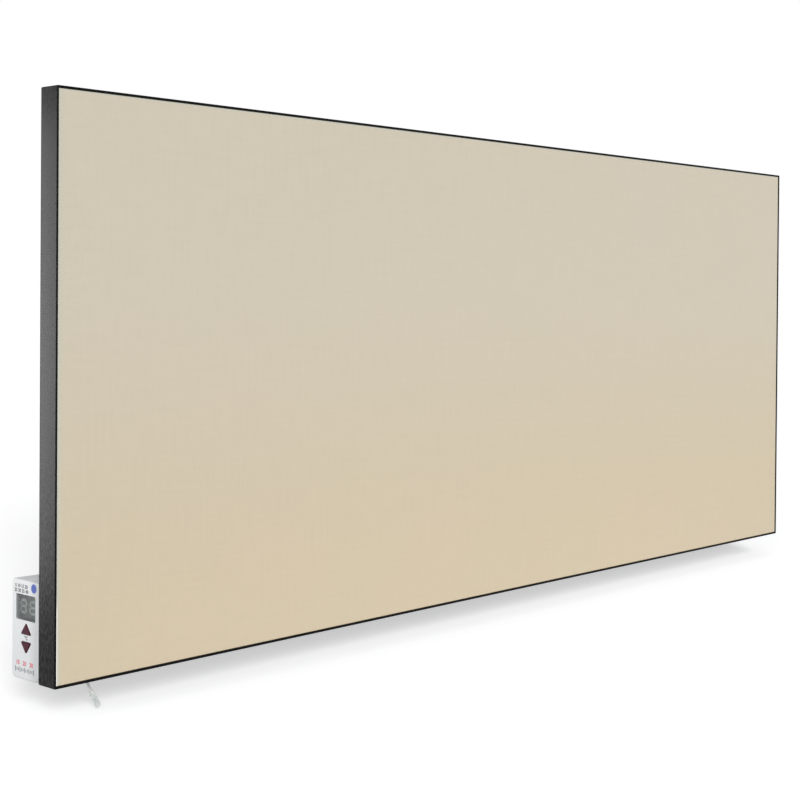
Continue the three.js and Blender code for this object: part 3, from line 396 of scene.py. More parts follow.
powder_coat = grained(
    "hammered_powder_coat", (0.012, 0.0115, 0.0115), 0.8, 0.28,
    scale=560, stretch=(1, 1, 0.38), mottle_scale=60, mottle=0.1, depth=0.12 * mm,
    Coat_Roughness=0.28, Specular_IOR_Level=0.03,
)
coat_edge = (0.4 * mm, 1.3 * mm)
edge_black_and_painted_shade = 0.35
coat_turn_gloss = (0.84, 1.18)
coat, coat_shader, coat_grain = nodes_of(powder_coat)
coat_x, coat_y, coat_z = object_axes(coat)
coat_side = maths(coat, "SUBTRACT", panel_width / 2, maths(coat, "ABSOLUTE", coat_x))
coat_rise = maths(coat, "ABSOLUTE", maths(coat, "SUBTRACT", coat_z, panel_centre_z))
corner_distance = maths(coat, "MAXIMUM", coat_side, maths(coat, "SUBTRACT", panel_height / 2, coat_rise))
lip_distance = maths(coat, "SUBTRACT", coat_y, frame_lo.y)
fold_distance = maths(coat, "SUBTRACT", frame_hi.y - frame_bend / 2, coat_y)
coat_edge_distance = maths(
    coat, "MINIMUM", corner_distance, maths(coat, "MINIMUM", lip_distance, fold_distance))
# Darker colour and less coat near the edges: the lip's black finish, and painted shade on the bend and
# ends.
lip_black_and_edge_shade = eased_ramp(coat, coat_edge_distance, *coat_edge, edge_black_and_painted_shade)

# The hammered figure is coarser low down, where the coat ran thicker as it set. Each pair gives a value at
# the lower and at the upper of these heights.
coat_heights = [frame_lo.z + share * panel_height for share in (0.08, 0.58)]
coat_depths = (0.13 * mm, 0.03 * mm)
coat_gloss_low = (0.058, 0.173)
coat_gloss_high = (0.24, 0.211)
feed(coat_grain.inputs["Depth"], eased_ramp(coat, coat_z, *coat_heights, *coat_depths))
coat_gloss = mix(
    coat, "FLOAT", coat_grain.outputs["Grain"],
    eased_ramp(coat, coat_z, *coat_heights, *coat_gloss_low),
    eased_ramp(coat, coat_z, *coat_heights, *coat_gloss_high),
)
coat_turn = eased_ramp(coat, lip_distance, 0, panel_depth, *coat_turn_gloss)
coat_level = maths(coat, "MULTIPLY", lip_black_and_edge_shade, coat_turn)
feed(coat_shader["Coat Weight"], maths(coat, "MULTIPLY", coat_gloss, coat_level))
feed(coat_shader["Base Color"], shade(coat, coat_grain.outputs["Colour"], lip_black_and_edge_shade))

bend_steps = 8
edge_steps = 4
frame_section = [
    *arc(frame_bend, frame_bend, frame_bend, 270, 180, bend_steps),
    *arc(frame_edge, panel_depth - frame_edge, frame_edge, 180, 90, edge_steps),
    *arc(frame_wall - frame_edge, panel_depth - frame_edge, frame_edge, 90, 0, edge_steps),
    *arc(frame_bend, frame_bend, frame_bend - frame_wall, 180, 270, bend_steps),
    (frame_flange, frame_wall),
    (frame_flange, 0),
]


def panel_ring(inset, height, corner):
    """A rounded rectangle round the panel, inset from its outline, at a height above its back plane."""
    corners = rectangle(panel_width - 2 * inset, panel_height - 2 * inset)
    outline = rounded_outline(corners, max(corner, least_radius), edge_steps)
    return [on_panel(x, y, height) for x, y in outline]


frame_rings = [panel_ring(inset, height, frame_corner - inset) for inset, height in frame_section]
steel_frame = add_object("steel_frame", skin("steel_frame", frame_rings, is_loop=True))
settle(steel_frame, powder_coat, "frame_coat", "heater", "frame")

# The tile: a 9 mm slab of porcelain with a satin beige glaze and a faint linen grain. It is greyer
# towards its upper and left edges. Its top and left arris carry painted shade, darker than the glaze,
# except low on the left, where a painted highlight makes the arris near white.
tile_lo, tile_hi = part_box("ceramic_tile")
tile_inset = tile_lo.x - frame_lo.x
tile_back = panel_back - tile_hi.y
tile_front = panel_back - tile_lo.y
tile_arris = 0.8 * mm
tile_flat = 3 * mm
tile_corner = 0.4 * mm
arris_profile = arc(tile_arris, tile_front - tile_arris, tile_arris, 180, 90, edge_steps)
tile_profile = [(0, tile_back), *arris_profile, (tile_flat, tile_front), (2 * tile_flat, tile_front)]
tile_rings = [
    panel_ring(tile_inset + inset, height, tile_corner - inset) for inset, height in tile_profile
]
tile_mesh = skin("porcelain_tile", tile_rings)

grey_band_left = 6 * mm
grey_band_top = 2.2 * mm
painted_highlight_top = -180 * mm
painted_highlight_blend = 10 * mm
tone_drift_heights = (-200 * mm, 100 * mm)
warp = (260, 1, 22)
weft = (22, 1, 260)
patch_scale = 5
glaze = new_material("linen_porcelain", (0.66, 0.57, 0.45), 0.5, Specular_IOR_Level=0.35)
tile = glaze.node_tree
tile_place = add_node(tile, "ShaderNodeTexCoord", output="Object")


def glaze_noise(scale, stretch=(1, 1, 1)):
    """A noise over the tile, stretched to threads or left as patches."""
    place = add_node(tile, "ShaderNodeMapping", {"Vector": tile_place, "Scale": stretch})
    return noise(tile, place, scale, 3)


def glaze_mix(factor, first, second):
    return mix(tile, "RGBA", factor, first, second)


tile_x, _, tile_z = object_axes(tile)
tile_height = maths(tile, "SUBTRACT", tile_z, panel_centre_z)
left_distance = maths(tile, "ADD", tile_x, panel_width / 2 - tile_inset)
top_distance = maths(tile, "SUBTRACT", panel_height / 2 - tile_inset, tile_height)
# Greyer colour within a few millimetres of the upper and left edges.
off_grey_band = maths(
    tile, "MULTIPLY",
    eased_ramp(tile, left_distance, tile_arris, grey_band_left),
    eased_ramp(tile, top_distance, tile_arris, grey_band_top),
)
threads = maths(tile, "MULTIPLY", maths(tile, "ADD", glaze_noise(1, warp), glaze_noise(1, weft)), 0.5)
patches = glaze_noise(patch_scale)
lower_tone = glaze_mix(patches, (0.571, 0.497, 0.353, 1), (0.589, 0.492, 0.365, 1))
upper_tone = glaze_mix(patches, (0.565, 0.521, 0.41, 1), (0.586, 0.516, 0.421, 1))
# The tone turns greyer and cooler towards the top and warmer towards the foot.
height_drift_tone = glaze_mix(eased_ramp(tile, tile_height, *tone_drift_heights), lower_tone, upper_tone)
thread_tone = glaze_mix(threads, (0.95, 0.95, 0.95, 1), (1.05, 1.05, 1.05, 1))
grey_band_tone = glaze_mix(off_grey_band, (0.53, 0.522, 0.43, 1), shade(tile, height_drift_tone, thread_tone))
# Painted highlight low on the left arris, painted shade on the rest of the top and left arris.
painted_highlight_mask = eased_ramp(
    tile, tile_height, painted_highlight_top - painted_highlight_blend, painted_highlight_top + painted_highlight_blend, 1, 0)
arris_painted_light_and_shade = glaze_mix(painted_highlight_mask, (0.5, 0.49, 0.42, 1), (0.9, 0.86, 0.8, 1))
arris_distance = maths(tile, "MINIMUM", left_distance, top_distance)
arris_end = eased_ramp(tile, arris_distance, 0.5 * tile_arris, 1.5 * tile_arris)
glaze_shader = tile.nodes["Principled BSDF"].inputs
feed(glaze_shader["Base Color"], glaze_mix(arris_end, arris_painted_light_and_shade, grey_band_tone))
feed(glaze_shader["Normal"], add_node(
    tile, "ShaderNodeBump", {"Height": threads, "Distance": 0.02 * mm}))

porcelain_tile = add_object("porcelain_tile", tile_mesh)
settle(porcelain_tile, glaze, "porcelain", "heater", "ceramic_tile")

# Inside the panel: the silicone bead, the red sheathed heating cable, the foil reflector and the mineral
# board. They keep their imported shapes, with soft shading over their shallow edges.
crease_angle = math.radians(40)


def make_soften_group():
    """Geometry group: joins loose triangles and shades them smooth where they meet at a shallow angle."""
    group, given, leave = new_group(
        "soften", "GeometryNodeTree", {"Geometry": "Geometry", "Crease Angle": "Float"},
        {"Geometry": "Geometry"},
    )
    bare = add_node(
        group, "GeometryNodeRemoveAttribute", {"Geometry": given["Geometry"], "Name": "custom_normal"})
    weld = add_node(group, "GeometryNodeMergeByDistance", {"Geometry": bare, "Distance": 1e-6})
    smooth = add_node(group, "GeometryNodeSetShadeSmooth", {"Geometry": weld})
    angle = add_node(group, "GeometryNodeInputMeshEdgeAngle", output="Unsigned Angle")
    steep = add_node(
        group, "FunctionNodeCompare", {"A": angle, "B": given["Crease Angle"]}, operation="GREATER_THAN")
    edges = {"Geometry": smooth, "Selection": steep, "Shade Smooth": False}
    feed(leave["Geometry"], add_node(group, "GeometryNodeSetShadeSmooth", edges, domain="EDGE"))
    return group


def add_group(piece, name, group, **values):
    """Adds a Geometry Nodes modifier. Its inputs are given by name, with _ for each space."""
    modifier = piece.modifiers.new(name, "NODES")
    modifier.node_group = group
    sockets = {item.name: item.identifier for item in group.interface.items_tree if item.in_out == "INPUT"}
    for socket, value in values.items():
        modifier[sockets[socket.replace("_", " ")]] = value


soften_group = make_soften_group()


def dress(material, *names):
    """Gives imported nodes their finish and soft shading."""
    for name in names:
        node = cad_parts[name]
        node.material_slots[0].material = material
        add_group(node, "soften", soften_group, Crease_Angle=crease_angle)
        node.modifiers.new("weighted", "WEIGHTED_NORMAL").keep_sharp = True


silicone = grained("silicone", (0.03, 0.027, 0.024), 0.3, 0.6, scale=300)
heater_sheath = grained("heater_sheath", (0.26, 0.045, 0.026), 0.25, 0.5, scale=700)
foil = grained(
    "foil", (0.58, 0.6, 0.61), 0.12, 0.3, scale=200, stretch=(0.05, 1, 1), depth=0.02 * mm, Metallic=1)
mineral_board = grained(
    "mineral_board", (0.69, 0.65, 0.52), 0.2, 0.9, scale=350, stretch=(0.4, 1, 1), depth=0.2 * mm)
dress(silicone, "tile_bond_bead", "splice_sleeve_1", "splice_sleeve_2")
dress(heater_sheath, "heating_cable")
dress(foil, "reflector_sheet")
dress(mineral_board, "insulation_board")

# The rear cover: a pan pressed from 1.2 mm steel, whose rim lies on the frame's flange. Four long ribs
# stiffen its field. Coated as the frame is, a little finer.
cover_lo, cover_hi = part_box("rear_cover")
cover_width = cover_hi.x - cover_lo.x
cover_height = cover_hi.z - cover_lo.z
cover_sheet = 1.2 * mm
cover_rim = 10 * mm
dish_slope = 2.6 * mm
dish_depth = 2.1 * mm
rib_count = 4
rib_pitch = 100 * mm
rib_length = 580 * mm
rib_width = 18 * mm
rib_slope = 3 * mm
rib_height = 1.8 * mm


def graded(spans):
    """Lines over spans, each a start, an end and a number of steps."""
    lines = set()
    for start, end, steps in spans:
        lines |= {round(start + (end - start) * step / steps, 7) for step in range(steps + 1)}
    return sorted(lines)


def mirrored(lines):
    return sorted({-line for line in lines} | set(lines))


dish_steps = 8
rib_end_steps = 16
rib_end = rib_length / 2
dish_x = cover_width / 2 - cover_rim
dish_y = cover_height / 2 - cover_rim
cover_xs = mirrored(graded([
    (0, rib_end - rib_width / 2, 1),
    (rib_end - rib_width / 2, rib_end, rib_end_steps),
    (rib_end, dish_x - dish_slope, 1),
    (dish_x - dish_slope, dish_x, dish_steps),
    (dish_x, cover_width / 2, 1),
]))
rib_lines = []
for at in range(rib_count):
    rib_y = (at - (rib_count - 1) / 2) * rib_pitch
    rib_lines += graded([(rib_y - rib_width / 2, rib_y + rib_width / 2, 2 * rib_end_steps)])
cover_ys = sorted({
    *mirrored(graded([(dish_y - dish_slope, dish_y, dish_steps), (dish_y, cover_height / 2, 1)])),
    *rib_lines,
})
cover_blank = bpy.data.meshes.new("pressed_cover")
cover_row = len(cover_xs)
cover_points = [on_panel(x, y, panel_back - cover_hi.y) for y in cover_ys for x in cover_xs]
cover_faces = [
    (at, at + cover_row, at + cover_row + 1, at + 1)
    for row in range(len(cover_ys) - 1)
    for at in range(row * cover_row, (row + 1) * cover_row - 1)
]
cover_blank.from_pydata(cover_points, [], cover_faces)


def make_press_group():
    """Geometry group: presses a flat blank into a dish with ribs, by the depth at each point."""
    sizes = (
        "Centre Height", "Dish Half Width", "Dish Half Height", "Dish Slope", "Dish Depth",
        "Rib Pitch", "Rib Length", "Rib Width", "Rib Slope", "Rib Height",
    )
    group, given, leave = new_group(
        "pressed_ribs", "GeometryNodeTree",
        {"Geometry": "Geometry", **dict.fromkeys(sizes, "Float")}, {"Geometry": "Geometry"},
    )

    def work_out(operation, *values):
        return maths(group, operation, *values)

    place = add_node(group, "GeometryNodeInputPosition")
    x, _, z = add_node(group, "ShaderNodeSeparateXYZ", [place]).node.outputs
    across = work_out("ABSOLUTE", x)
    height = work_out("SUBTRACT", z, given["Centre Height"])
    inward = work_out(
        "MINIMUM",
        work_out("SUBTRACT", given["Dish Half Width"], across),
        work_out("SUBTRACT", given["Dish Half Height"], work_out("ABSOLUTE", height)),
    )
    dish = work_out("MULTIPLY", eased_ramp(group, inward, 0, given["Dish Slope"]), given["Dish Depth"])
    half_pitch = work_out("MULTIPLY", given["Rib Pitch"], 0.5)
    in_pitch = work_out("FLOORED_MODULO", height, given["Rib Pitch"])
    from_rib = work_out("ABSOLUTE", work_out("SUBTRACT", in_pitch, half_pitch))
    straight = work_out("MULTIPLY", work_out("SUBTRACT", given["Rib Length"], given["Rib Width"]), 0.5)
    past_end = work_out("MAXIMUM", work_out("SUBTRACT", across, straight), 0.0)
    reach = work_out("SQRT", work_out(
        "ADD", work_out("MULTIPLY", from_rib, from_rib), work_out("MULTIPLY", past_end, past_end)))
    inside_rib = work_out("SUBTRACT", work_out("MULTIPLY", given["Rib Width"], 0.5), reach)
    rib = work_out("MULTIPLY", eased_ramp(group, inside_rib, 0, given["Rib Slope"]), given["Rib Height"])
    shift = add_node(group, "ShaderNodeCombineXYZ", {"Y": work_out("SUBTRACT", rib, dish)})
    feed(leave["Geometry"], add_node(
        group, "GeometryNodeSetPosition", {"Geometry": given["Geometry"], "Offset": shift}))
    return group


pressed_cover = add_object("pressed_cover", cover_blank)
add_group(
    pressed_cover, "press", make_press_group(),
    Centre_Height=panel_centre_z, Dish_Half_Width=dish_x, Dish_Half_Height=dish_y,
    Dish_Slope=dish_slope, Dish_Depth=dish_depth, Rib_Pitch=rib_pitch, Rib_Length=rib_length,
    Rib_Width=rib_width, Rib_Slope=rib_slope, Rib_Height=rib_height,
)
thicken = pressed_cover.modifiers.new("thicken", "SOLIDIFY")
thicken.thickness = cover_sheet
thicken.offset = -1
apply_modifiers(pressed_cover)
cover_coat = grained(
    "cover_powder_coat", (0.03, 0.029, 0.03), 0.5, 0.6, scale=700, mottle_scale=20, mottle=0.2,
    depth=0.15 * mm, Specular_IOR_Level=0.35,
)
settle(pressed_cover, cover_coat, "cover_coat", "heater", "rear_cover")

# The pan head screws: zinc plated, with a cross recess. One row holds the rear cover to the flange, one
# pair holds each wall bracket. Each is turned as far as its thread took it.
screw_lo, screw_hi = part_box("cover_screw_1")
screw_head_radius = (screw_hi.x - screw_lo.x) / 2
screw_shank_radius = 1.75 * mm
screw_length = 9 * mm
screw_head_height = 2.2 * mm
recess_reach = 2.1 * mm
recess_width = 0.9 * mm
recess_depth = 1.3 * mm
screw_sides = 32
screw_tip_radius = 0.35 * mm
head_edge = 0.2 * mm
head_rim = 0.45
dome_angles = (15, 30, 45, 60, 75, 86)
dome_fullness = 0.6


def turned(name, profile, sides):
    """A solid of revolution about Y: profile gives radii and distances along it."""
    side, other = Vector((1, 0, 1)).normalized(), Vector((1, 0, -1)).normalized()
    rings = []
    for radius, distance in profile:
        centre = Vector((0, distance, 0))
        rings.append([centre + side * x + other * y for x, y in arc(0, 0, radius, 0, 360, sides)[:-1]])
    return skin(name, rings)


def cut_away(target, cutter_mesh, operation="DIFFERENCE"):
    """Takes a cutter's shape out of a target, or joins it on."""
    cutter = add_object("cutter", cutter_mesh)
    boolean = target.modifiers.new("cut", "BOOLEAN")
    boolean.operation = operation
    boolean.solver = "EXACT"
    boolean.object = cutter
    apply_modifiers(target)
    bpy.data.objects.remove(cutter)


def prism(name, outline, start, end, place):
    """An outline drawn between two heights, each point put in the model by place(x, y, height)."""
    return skin(name, [[place(x, y, height) for x, y in outline] for height in (start, end)])


pan_profile = [
    (screw_tip_radius, -screw_length),
    (screw_shank_radius, -screw_length + screw_shank_radius),
    (screw_shank_radius, 0),
    (screw_head_radius - head_edge, 0),
    (screw_head_radius, head_edge),
    (screw_head_radius, screw_head_height * head_rim),
]
for angle in dome_angles:
    turn_out = math.cos(math.radians(angle)) ** dome_fullness
    turn_up = head_rim + (1 - head_rim) * math.sin(math.radians(angle))
    pan_profile.append((screw_head_radius * turn_out, screw_head_height * turn_up))
pan_screw = add_object("pan_screw", turned("pan_screw", pan_profile, screw_sides))
for width, height in ((2 * recess_reach, recess_width), (recess_width, 2 * recess_reach)):
    recess = prism(
        "recess", rectangle(width, height), screw_head_height - recess_depth, 2 * screw_head_height,
        lambda x, z, y: Vector((x, y, z)),
    )
    cut_away(pan_screw, recess)
pan_screw.hide_render = True

zinc_plate = grained(
    "zinc_plate", (0.55, 0.56, 0.57), 0.2, 0.36, scale=500, mottle_scale=90, mottle=0.5,
    depth=0.01 * mm, Metallic=1,
)


def make_screw_group():
    """Geometry group: sets a screw on each point, turned about Y by a random share of a turn."""
    group, given, leave = new_group(
        "set_screws", "GeometryNodeTree",
        {"Geometry": "Geometry", "Screw": "Object", "Material": "Material", "Turn Seed": "Int"},
        {"Geometry": "Geometry"},
    )
    screw = add_node(group, "GeometryNodeObjectInfo", {"Object": given["Screw"]}, "Geometry")
    turn = add_node(
        group, "FunctionNodeRandomValue", {"Max": math.pi, "Seed": given["Turn Seed"]}, "Value",
        data_type="FLOAT",
    )
    spin = add_node(group, "ShaderNodeCombineXYZ", {"Y": turn})
    screws = add_node(group, "GeometryNodeInstanceOnPoints", {
        "Points": given["Geometry"], "Instance": screw, "Rotation": spin})
    solid = add_node(group, "GeometryNodeRealizeInstances", {"Geometry": screws})
    feed(leave["Geometry"], add_node(
        group, "GeometryNodeSetMaterial", {"Geometry": solid, "Material": given["Material"]}))
    return group


screw_group = make_screw_group()


def set_screw_row(name, node_names, seed):
    """One mesh with a screw at each of these nodes."""
    places = []
    for node_name in node_names:
        low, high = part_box(node_name)
        places.append(((low.x + high.x) / 2, high.y - screw_head_height, (low.z + high.z) / 2))
    points = bpy.data.meshes.new(name)
    points.from_pydata(places, [], [])
    row = add_object(name, points)
    add_group(row, "screws", screw_group, Screw=pan_screw, Material=zinc_plate, Turn_Seed=seed)
    apply_modifiers(row)
    settle(row, None, "zinc_screw", "heater", *node_names)


for fixed, seed in (("cover", 3), ("bracket", 8)):
    set_screw_row(f"{fixed}_screws", [f"{fixed}_screw_{at}" for at in range(1, 9)], seed)
bpy.data.objects.remove(pan_screw)

# The wall brackets: hat sections folded from 1.5 mm zinc plated sheet. The two upper ones have keyholes
# for the wall screws, and the two lower ones only hold the panel off the wall.
bracket_web = 44 * mm
bracket_flange = 15 * mm
bracket_sheet = 1.5 * mm
bracket_bend = 3 * mm
keyhole_radius = 6 * mm
keyhole_slot_radius = 3.2 * mm
keyhole_drop = 16 * mm
hanger_lo, hanger_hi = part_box("hanger_left")
flange_front = hanger_lo.y
bracket_bevel = 0.25 * mm


def hat_outline():
    """The folded section: x across the bracket, y towards the wall."""
    half = bracket_web / 2
    inner = bracket_bend - bracket_sheet
    flange_back = flange_front + bracket_sheet
    wall_side = [
        (half + bracket_flange, flange_front),
        (half + bracket_flange, flange_back),
        *arc(half + inner, flange_back + inner, inner, 270, 180, bend_steps),
        *arc(half - bracket_bend, hanger_hi.y - bracket_bend, bracket_bend, 0, 90, bend_steps),
    ]
    panel_side = [
        *arc(half - bracket_bend, hanger_hi.y - bracket_bend, inner, 90, 0, bend_steps),
        *arc(half + inner, flange_back + inner, bracket_bend, 180, 270, bend_steps),
    ]

    def flip(points):
        return [(-x, y) for x, y in reversed(points)]

    return [*wall_side, *flip(wall_side), *flip(panel_side), *panel_side]


def soften_edges(piece, width, segments, least_angle):
    """Rounds off the edges that are sharper than an angle."""
    bevel = piece.modifiers.new("bevel", "BEVEL")
    bevel.width = width
    bevel.segments = segments
    bevel.limit_method = "ANGLE"
    bevel.angle_limit = math.radians(least_angle)
    apply_modifiers(piece)


def add_bracket(name, node, keyhole):
    low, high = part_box(node)
    middle = (low.x + high.x) / 2
    bracket = add_object(name, prism(
        name, hat_outline(), low.z, high.z, lambda x, y, z: Vector((middle + x, y, z)),
    ))
    if keyhole:
        opening = math.degrees(math.asin(keyhole_slot_radius / keyhole_radius))
        outline = [
            *arc(0, 0, keyhole_slot_radius, 0, 180, 2 * bend_steps),
            *arc(0, -keyhole_drop, keyhole_radius, 90 + opening, 450 - opening, 4 * bend_steps),
        ]
        cut_away(bracket, prism(
            "keyhole", outline, hanger_hi.y - 2 * bracket_sheet, hanger_hi.y + bracket_sheet,
            lambda x, z, y: Vector((middle + x, y, z)),
        ))
    soften_edges(bracket, bracket_bevel, segments=2, least_angle=50)
    settle(bracket, zinc_sheet, "zinc_sheet", "heater", node)


zinc_sheet = grained(
    "zinc_sheet", (0.5, 0.51, 0.52), 0.25, 0.42, scale=120, mottle_scale=60, mottle=0.6,
    depth=0.02 * mm, Metallic=1,
)
for side in ("left", "right"):
    add_bracket(f"keyhole_hanger_{side}", f"hanger_{side}", True)
    add_bracket(f"wall_standoff_{side}", f"standoff_{side}", False)

# The control box: two moulded shells of white plastic with a fine spark-eroded grain, which meet at a
# narrow parting line. Its own places are a from its front side towards the wall, b up and c inwards.
box_lo, box_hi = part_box("control_cover")
box_width = box_hi.y - box_lo.y
box_height = box_hi.z - box_lo.z
parting = box_hi.x - box_lo.x
shell_wall = 2.2 * mm
shell_corner = 4 * mm
shell_edge = 1.6 * mm
parting_round = 0.3 * mm
shell_steps = 8
shell_gap = 0.3 * mm


def in_box(a, b, c):
    return Vector((box_lo.x + c, box_lo.y + a, box_lo.z + b))


def shell_ring(inset, depth):
    corners = rectangle(box_width, box_height, box_width / 2, box_height / 2)
    outline = rounded_outline(corners, shell_corner, shell_steps, -inset)
    return [in_box(a, b, depth) for a, b in outline]


# The plastic's colour is darkened towards the casing: painted shade, for the casing's shadow on it.
box_painted_shade_reach = 16 * mm
box_painted_shade_darkness = 0.74
box_plastic = grained(
    "white_box_plastic", (0.67, 0.685, 0.693), 0.03, 0.42, scale=2500, mottle_scale=25, mottle=0.5,
    depth=0.015 * mm,
)
shell, shell_shader, shell_grain = nodes_of(box_plastic)
_, shell_y, _ = object_axes(shell)
shell_painted_shade = eased_ramp(shell, shell_y, box_lo.y, box_lo.y + box_painted_shade_reach, box_painted_shade_darkness)
feed(shell_shader["Base Color"], shade(shell, shell_grain.outputs["Colour"], shell_painted_shade))

cover_profile = [
    (shell_wall, shell_wall),
    (shell_wall, parting),
    (parting_round, parting),
    (0, parting - parting_round),
    *arc(shell_edge, shell_edge, shell_edge, 180, 270, shell_steps),
]
box_cover = add_object("box_cover", skin("box_cover", [shell_ring(*level) for level in cover_profile]))

# The front shell's openings: a window and two triangles, drawn in the box's own places and a little larger
# than what comes through them.
window_lo, window_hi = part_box("display_window")
window_flange = 1.1 * mm
window_gap = 0.35 * mm
window_corner = 1.2 * mm
window_width = window_hi.y - window_lo.y - 2 * window_flange
window_height = window_hi.z - window_lo.z - 2 * window_flange
window_a = (window_lo.y + window_hi.y) / 2 - box_lo.y
window_b = (window_lo.z + window_hi.z) / 2 - box_lo.z
window_corners = rectangle(window_width, window_height, window_a, window_b)
button_base = 14.4 * mm
button_height = 9.4 * mm
button_corner = 0.7 * mm
button_gap = 6.6 * mm
button_rise = 35.75 * mm
button_shift = 2.2 * mm
button_a = box_width / 2 - button_shift
opening_overrun = 1 * mm
opening_bevel = 0.25 * mm


def button_corners(sign):
    """The corners of the up (1) or down (-1) button's triangle, counter-clockwise."""
    foot = button_rise + sign * button_gap / 2
    corners = [
        (button_a - button_base / 2, foot),
        (button_a + button_base / 2, foot),
        (button_a, foot + sign * button_height),
    ]
    return corners if sign > 0 else corners[::-1]


opening_outlines = [rounded_outline(window_corners, window_corner, shell_steps, window_gap)]
opening_outlines += [
    rounded_outline(button_corners(sign), button_corner, shell_steps, window_gap) for sign in (1, -1)
]
for outline in opening_outlines:
    cut_away(box_cover, prism("opening", outline, -opening_overrun, shell_wall + opening_overrun, in_box))
soften_edges(box_cover, opening_bevel, segments=3, least_angle=60)
settle(box_cover, box_plastic, "box_plastic", "heater", "control_cover")
dress(box_plastic, "control_base")

# The window: a plate of smoked clear plastic with a thin flange, pushed in from behind. Through it show
# the two unlit digits.
window_thickness = window_hi.x - window_lo.x
window_front = window_lo.x - box_lo.x
window_seat = shell_wall + shell_gap
window_edge = 0.2 * mm
window_levels = [
    (-window_edge, window_front),
    (0, window_front + window_edge),
    (0, window_seat),
    (window_flange, window_seat),
    (window_flange, window_front + window_thickness),
]
smoked_window = add_object("smoked_window", skin("smoked_window", [
    [in_box(a, b, depth) for a, b in rounded_outline(window_corners, window_corner, shell_steps, grow)]
    for grow, depth in window_levels
]))
smoke = grained(
    "smoked_plastic", (0.183, 0.207, 0.202), 0.05, 0.12, scale=300, mottle=0.6, depth=0.002 * mm, Alpha=0.3)
settle(smoked_window, smoke, "tinted_window", "heater", "display_window")

# The digit module: a dark moulded block with two seven-segment digits, which lean a little. Their unlit
# bars are pale, and all but flush with its face.
module_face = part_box("display_module")[0].x - box_lo.x
dress(grained("module_face", (0.07, 0.075, 0.074), 0.1, 0.5, scale=1500), "display_module")
digit_width = 9.8 * mm
digit_height = 12.4 * mm
digit_centre_b = 61.4 * mm
digit_centres_a = (26.2 * mm, 12.5 * mm)
bar_width = 2.1 * mm
bar_gap = 0.25 * mm
bar_proud = 0.06 * mm
digit_slant = math.tan(math.radians(4))


def bar_outline(start, end):
    """A long hexagon between two points, pointed at both ends."""
    start, end = Vector(start), Vector(end)
    along = (end - start).normalized()
    aside = Vector((-along.y, along.x)) * bar_width / 2
    start = start + along * bar_gap
    end = end - along * bar_gap
    tip = along * bar_width / 2
    return [start, start + tip - aside, end - tip - aside, end, end - tip + aside, start + tip + aside]


def digit_bars(centre_a):
    """The seven bars of one digit, in the box's own places."""
    left, right = -digit_width / 2 + bar_width / 2, digit_width / 2 - bar_width / 2
    low, high = -digit_height / 2 + bar_width / 2, digit_height / 2 - bar_width / 2
    ends = [
        ((left, low), (right, low)), ((left, 0), (right, 0)), ((left, high), (right, high)),
        ((left, low), (left, 0)), ((left, 0), (left, high)),
        ((right, low), (right, 0)), ((right, 0), (right, high)),
    ]
    for start, end in ends:
        outline = bar_outline(start, end)
        yield [(centre_a - (x + y * digit_slant), digit_centre_b + y) for x, y in outline]


def join_meshes(name, meshes):
    """One mesh from several."""
    shape = bmesh.new()
    for mesh in meshes:
        shape.from_mesh(mesh)
    joined = bpy.data.meshes.new(name)
    shape.to_mesh(joined)
    shape.free()
    return joined


digit_meshes = [
    prism("bar", outline, module_face - bar_proud, module_face + bar_proud, in_box)
    for centre_a in digit_centres_a
    for outline in digit_bars(centre_a)
]
digit_bars_piece = add_object("digit_bars", join_meshes("digit_bars", digit_meshes))
bar_plastic = grained("unlit_bars", (0.55, 0.57, 0.56), 0.06, 0.4, scale=1200)
settle(digit_bars_piece, bar_plastic, "display_plastic", "heater")

# The buttons: dark red triangular caps with rounded corners, a soft top edge and a flange behind the
# face. Each rides on its own body and presses its switch's plunger.
button_proud = 0.8 * mm
button_flange = 1.1 * mm
button_flange_thickness = 1.2 * mm
button_round = 0.5 * mm
button_steps = 5
stem_radius = 2 * mm
button_plastic = grained(
    "button_plastic", (0.052, 0.003, 0.013), 0.15, 0.38, scale=1800, depth=0.01 * mm,
    Specular_IOR_Level=0.12,
)
for sign, name in ((1, "up"), (-1, "down")):
    node = f"button_{name}"
    low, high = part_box(node)
    levels = [
        (button_flange, window_seat + button_flange_thickness),
        (button_flange, window_seat),
        (0, window_seat),
        *arc(-button_round, -button_proud + button_round, button_round, 0, -90, button_steps),
    ]
    triangle = button_corners(sign)
    cap = add_object(f"{name}_button_cap", skin(f"{name}_button_cap", [
        [in_box(a, b, depth) for a, b in rounded_outline(triangle, button_corner, button_steps, grow)]
        for grow, depth in levels
    ]))
    stem_b = button_rise + sign * (button_gap / 2 + button_height / 3)
    stem = arc(button_a, stem_b, stem_radius, 0, 360, screw_sides)[:-1]
    cut_away(cap, prism("stem", stem, window_seat + shell_gap, high.x - box_lo.x, in_box), "UNION")
    settle(cap, button_plastic, "button_plastic", f"{name}_button", node)

# The face's print: a few plain set-point numbers and tick marks in grey and red, and one blue dot.
# Ink lies on the plastic as a film a few hundredths thick.
ink_height = 0.03 * mm
figure_weight = 0.16 * mm


def on_face(across, up, out):
    """A place on the face as it is read: across from its left edge, up from its foot, out of it."""
    return in_box(box_width - across, up, -out)


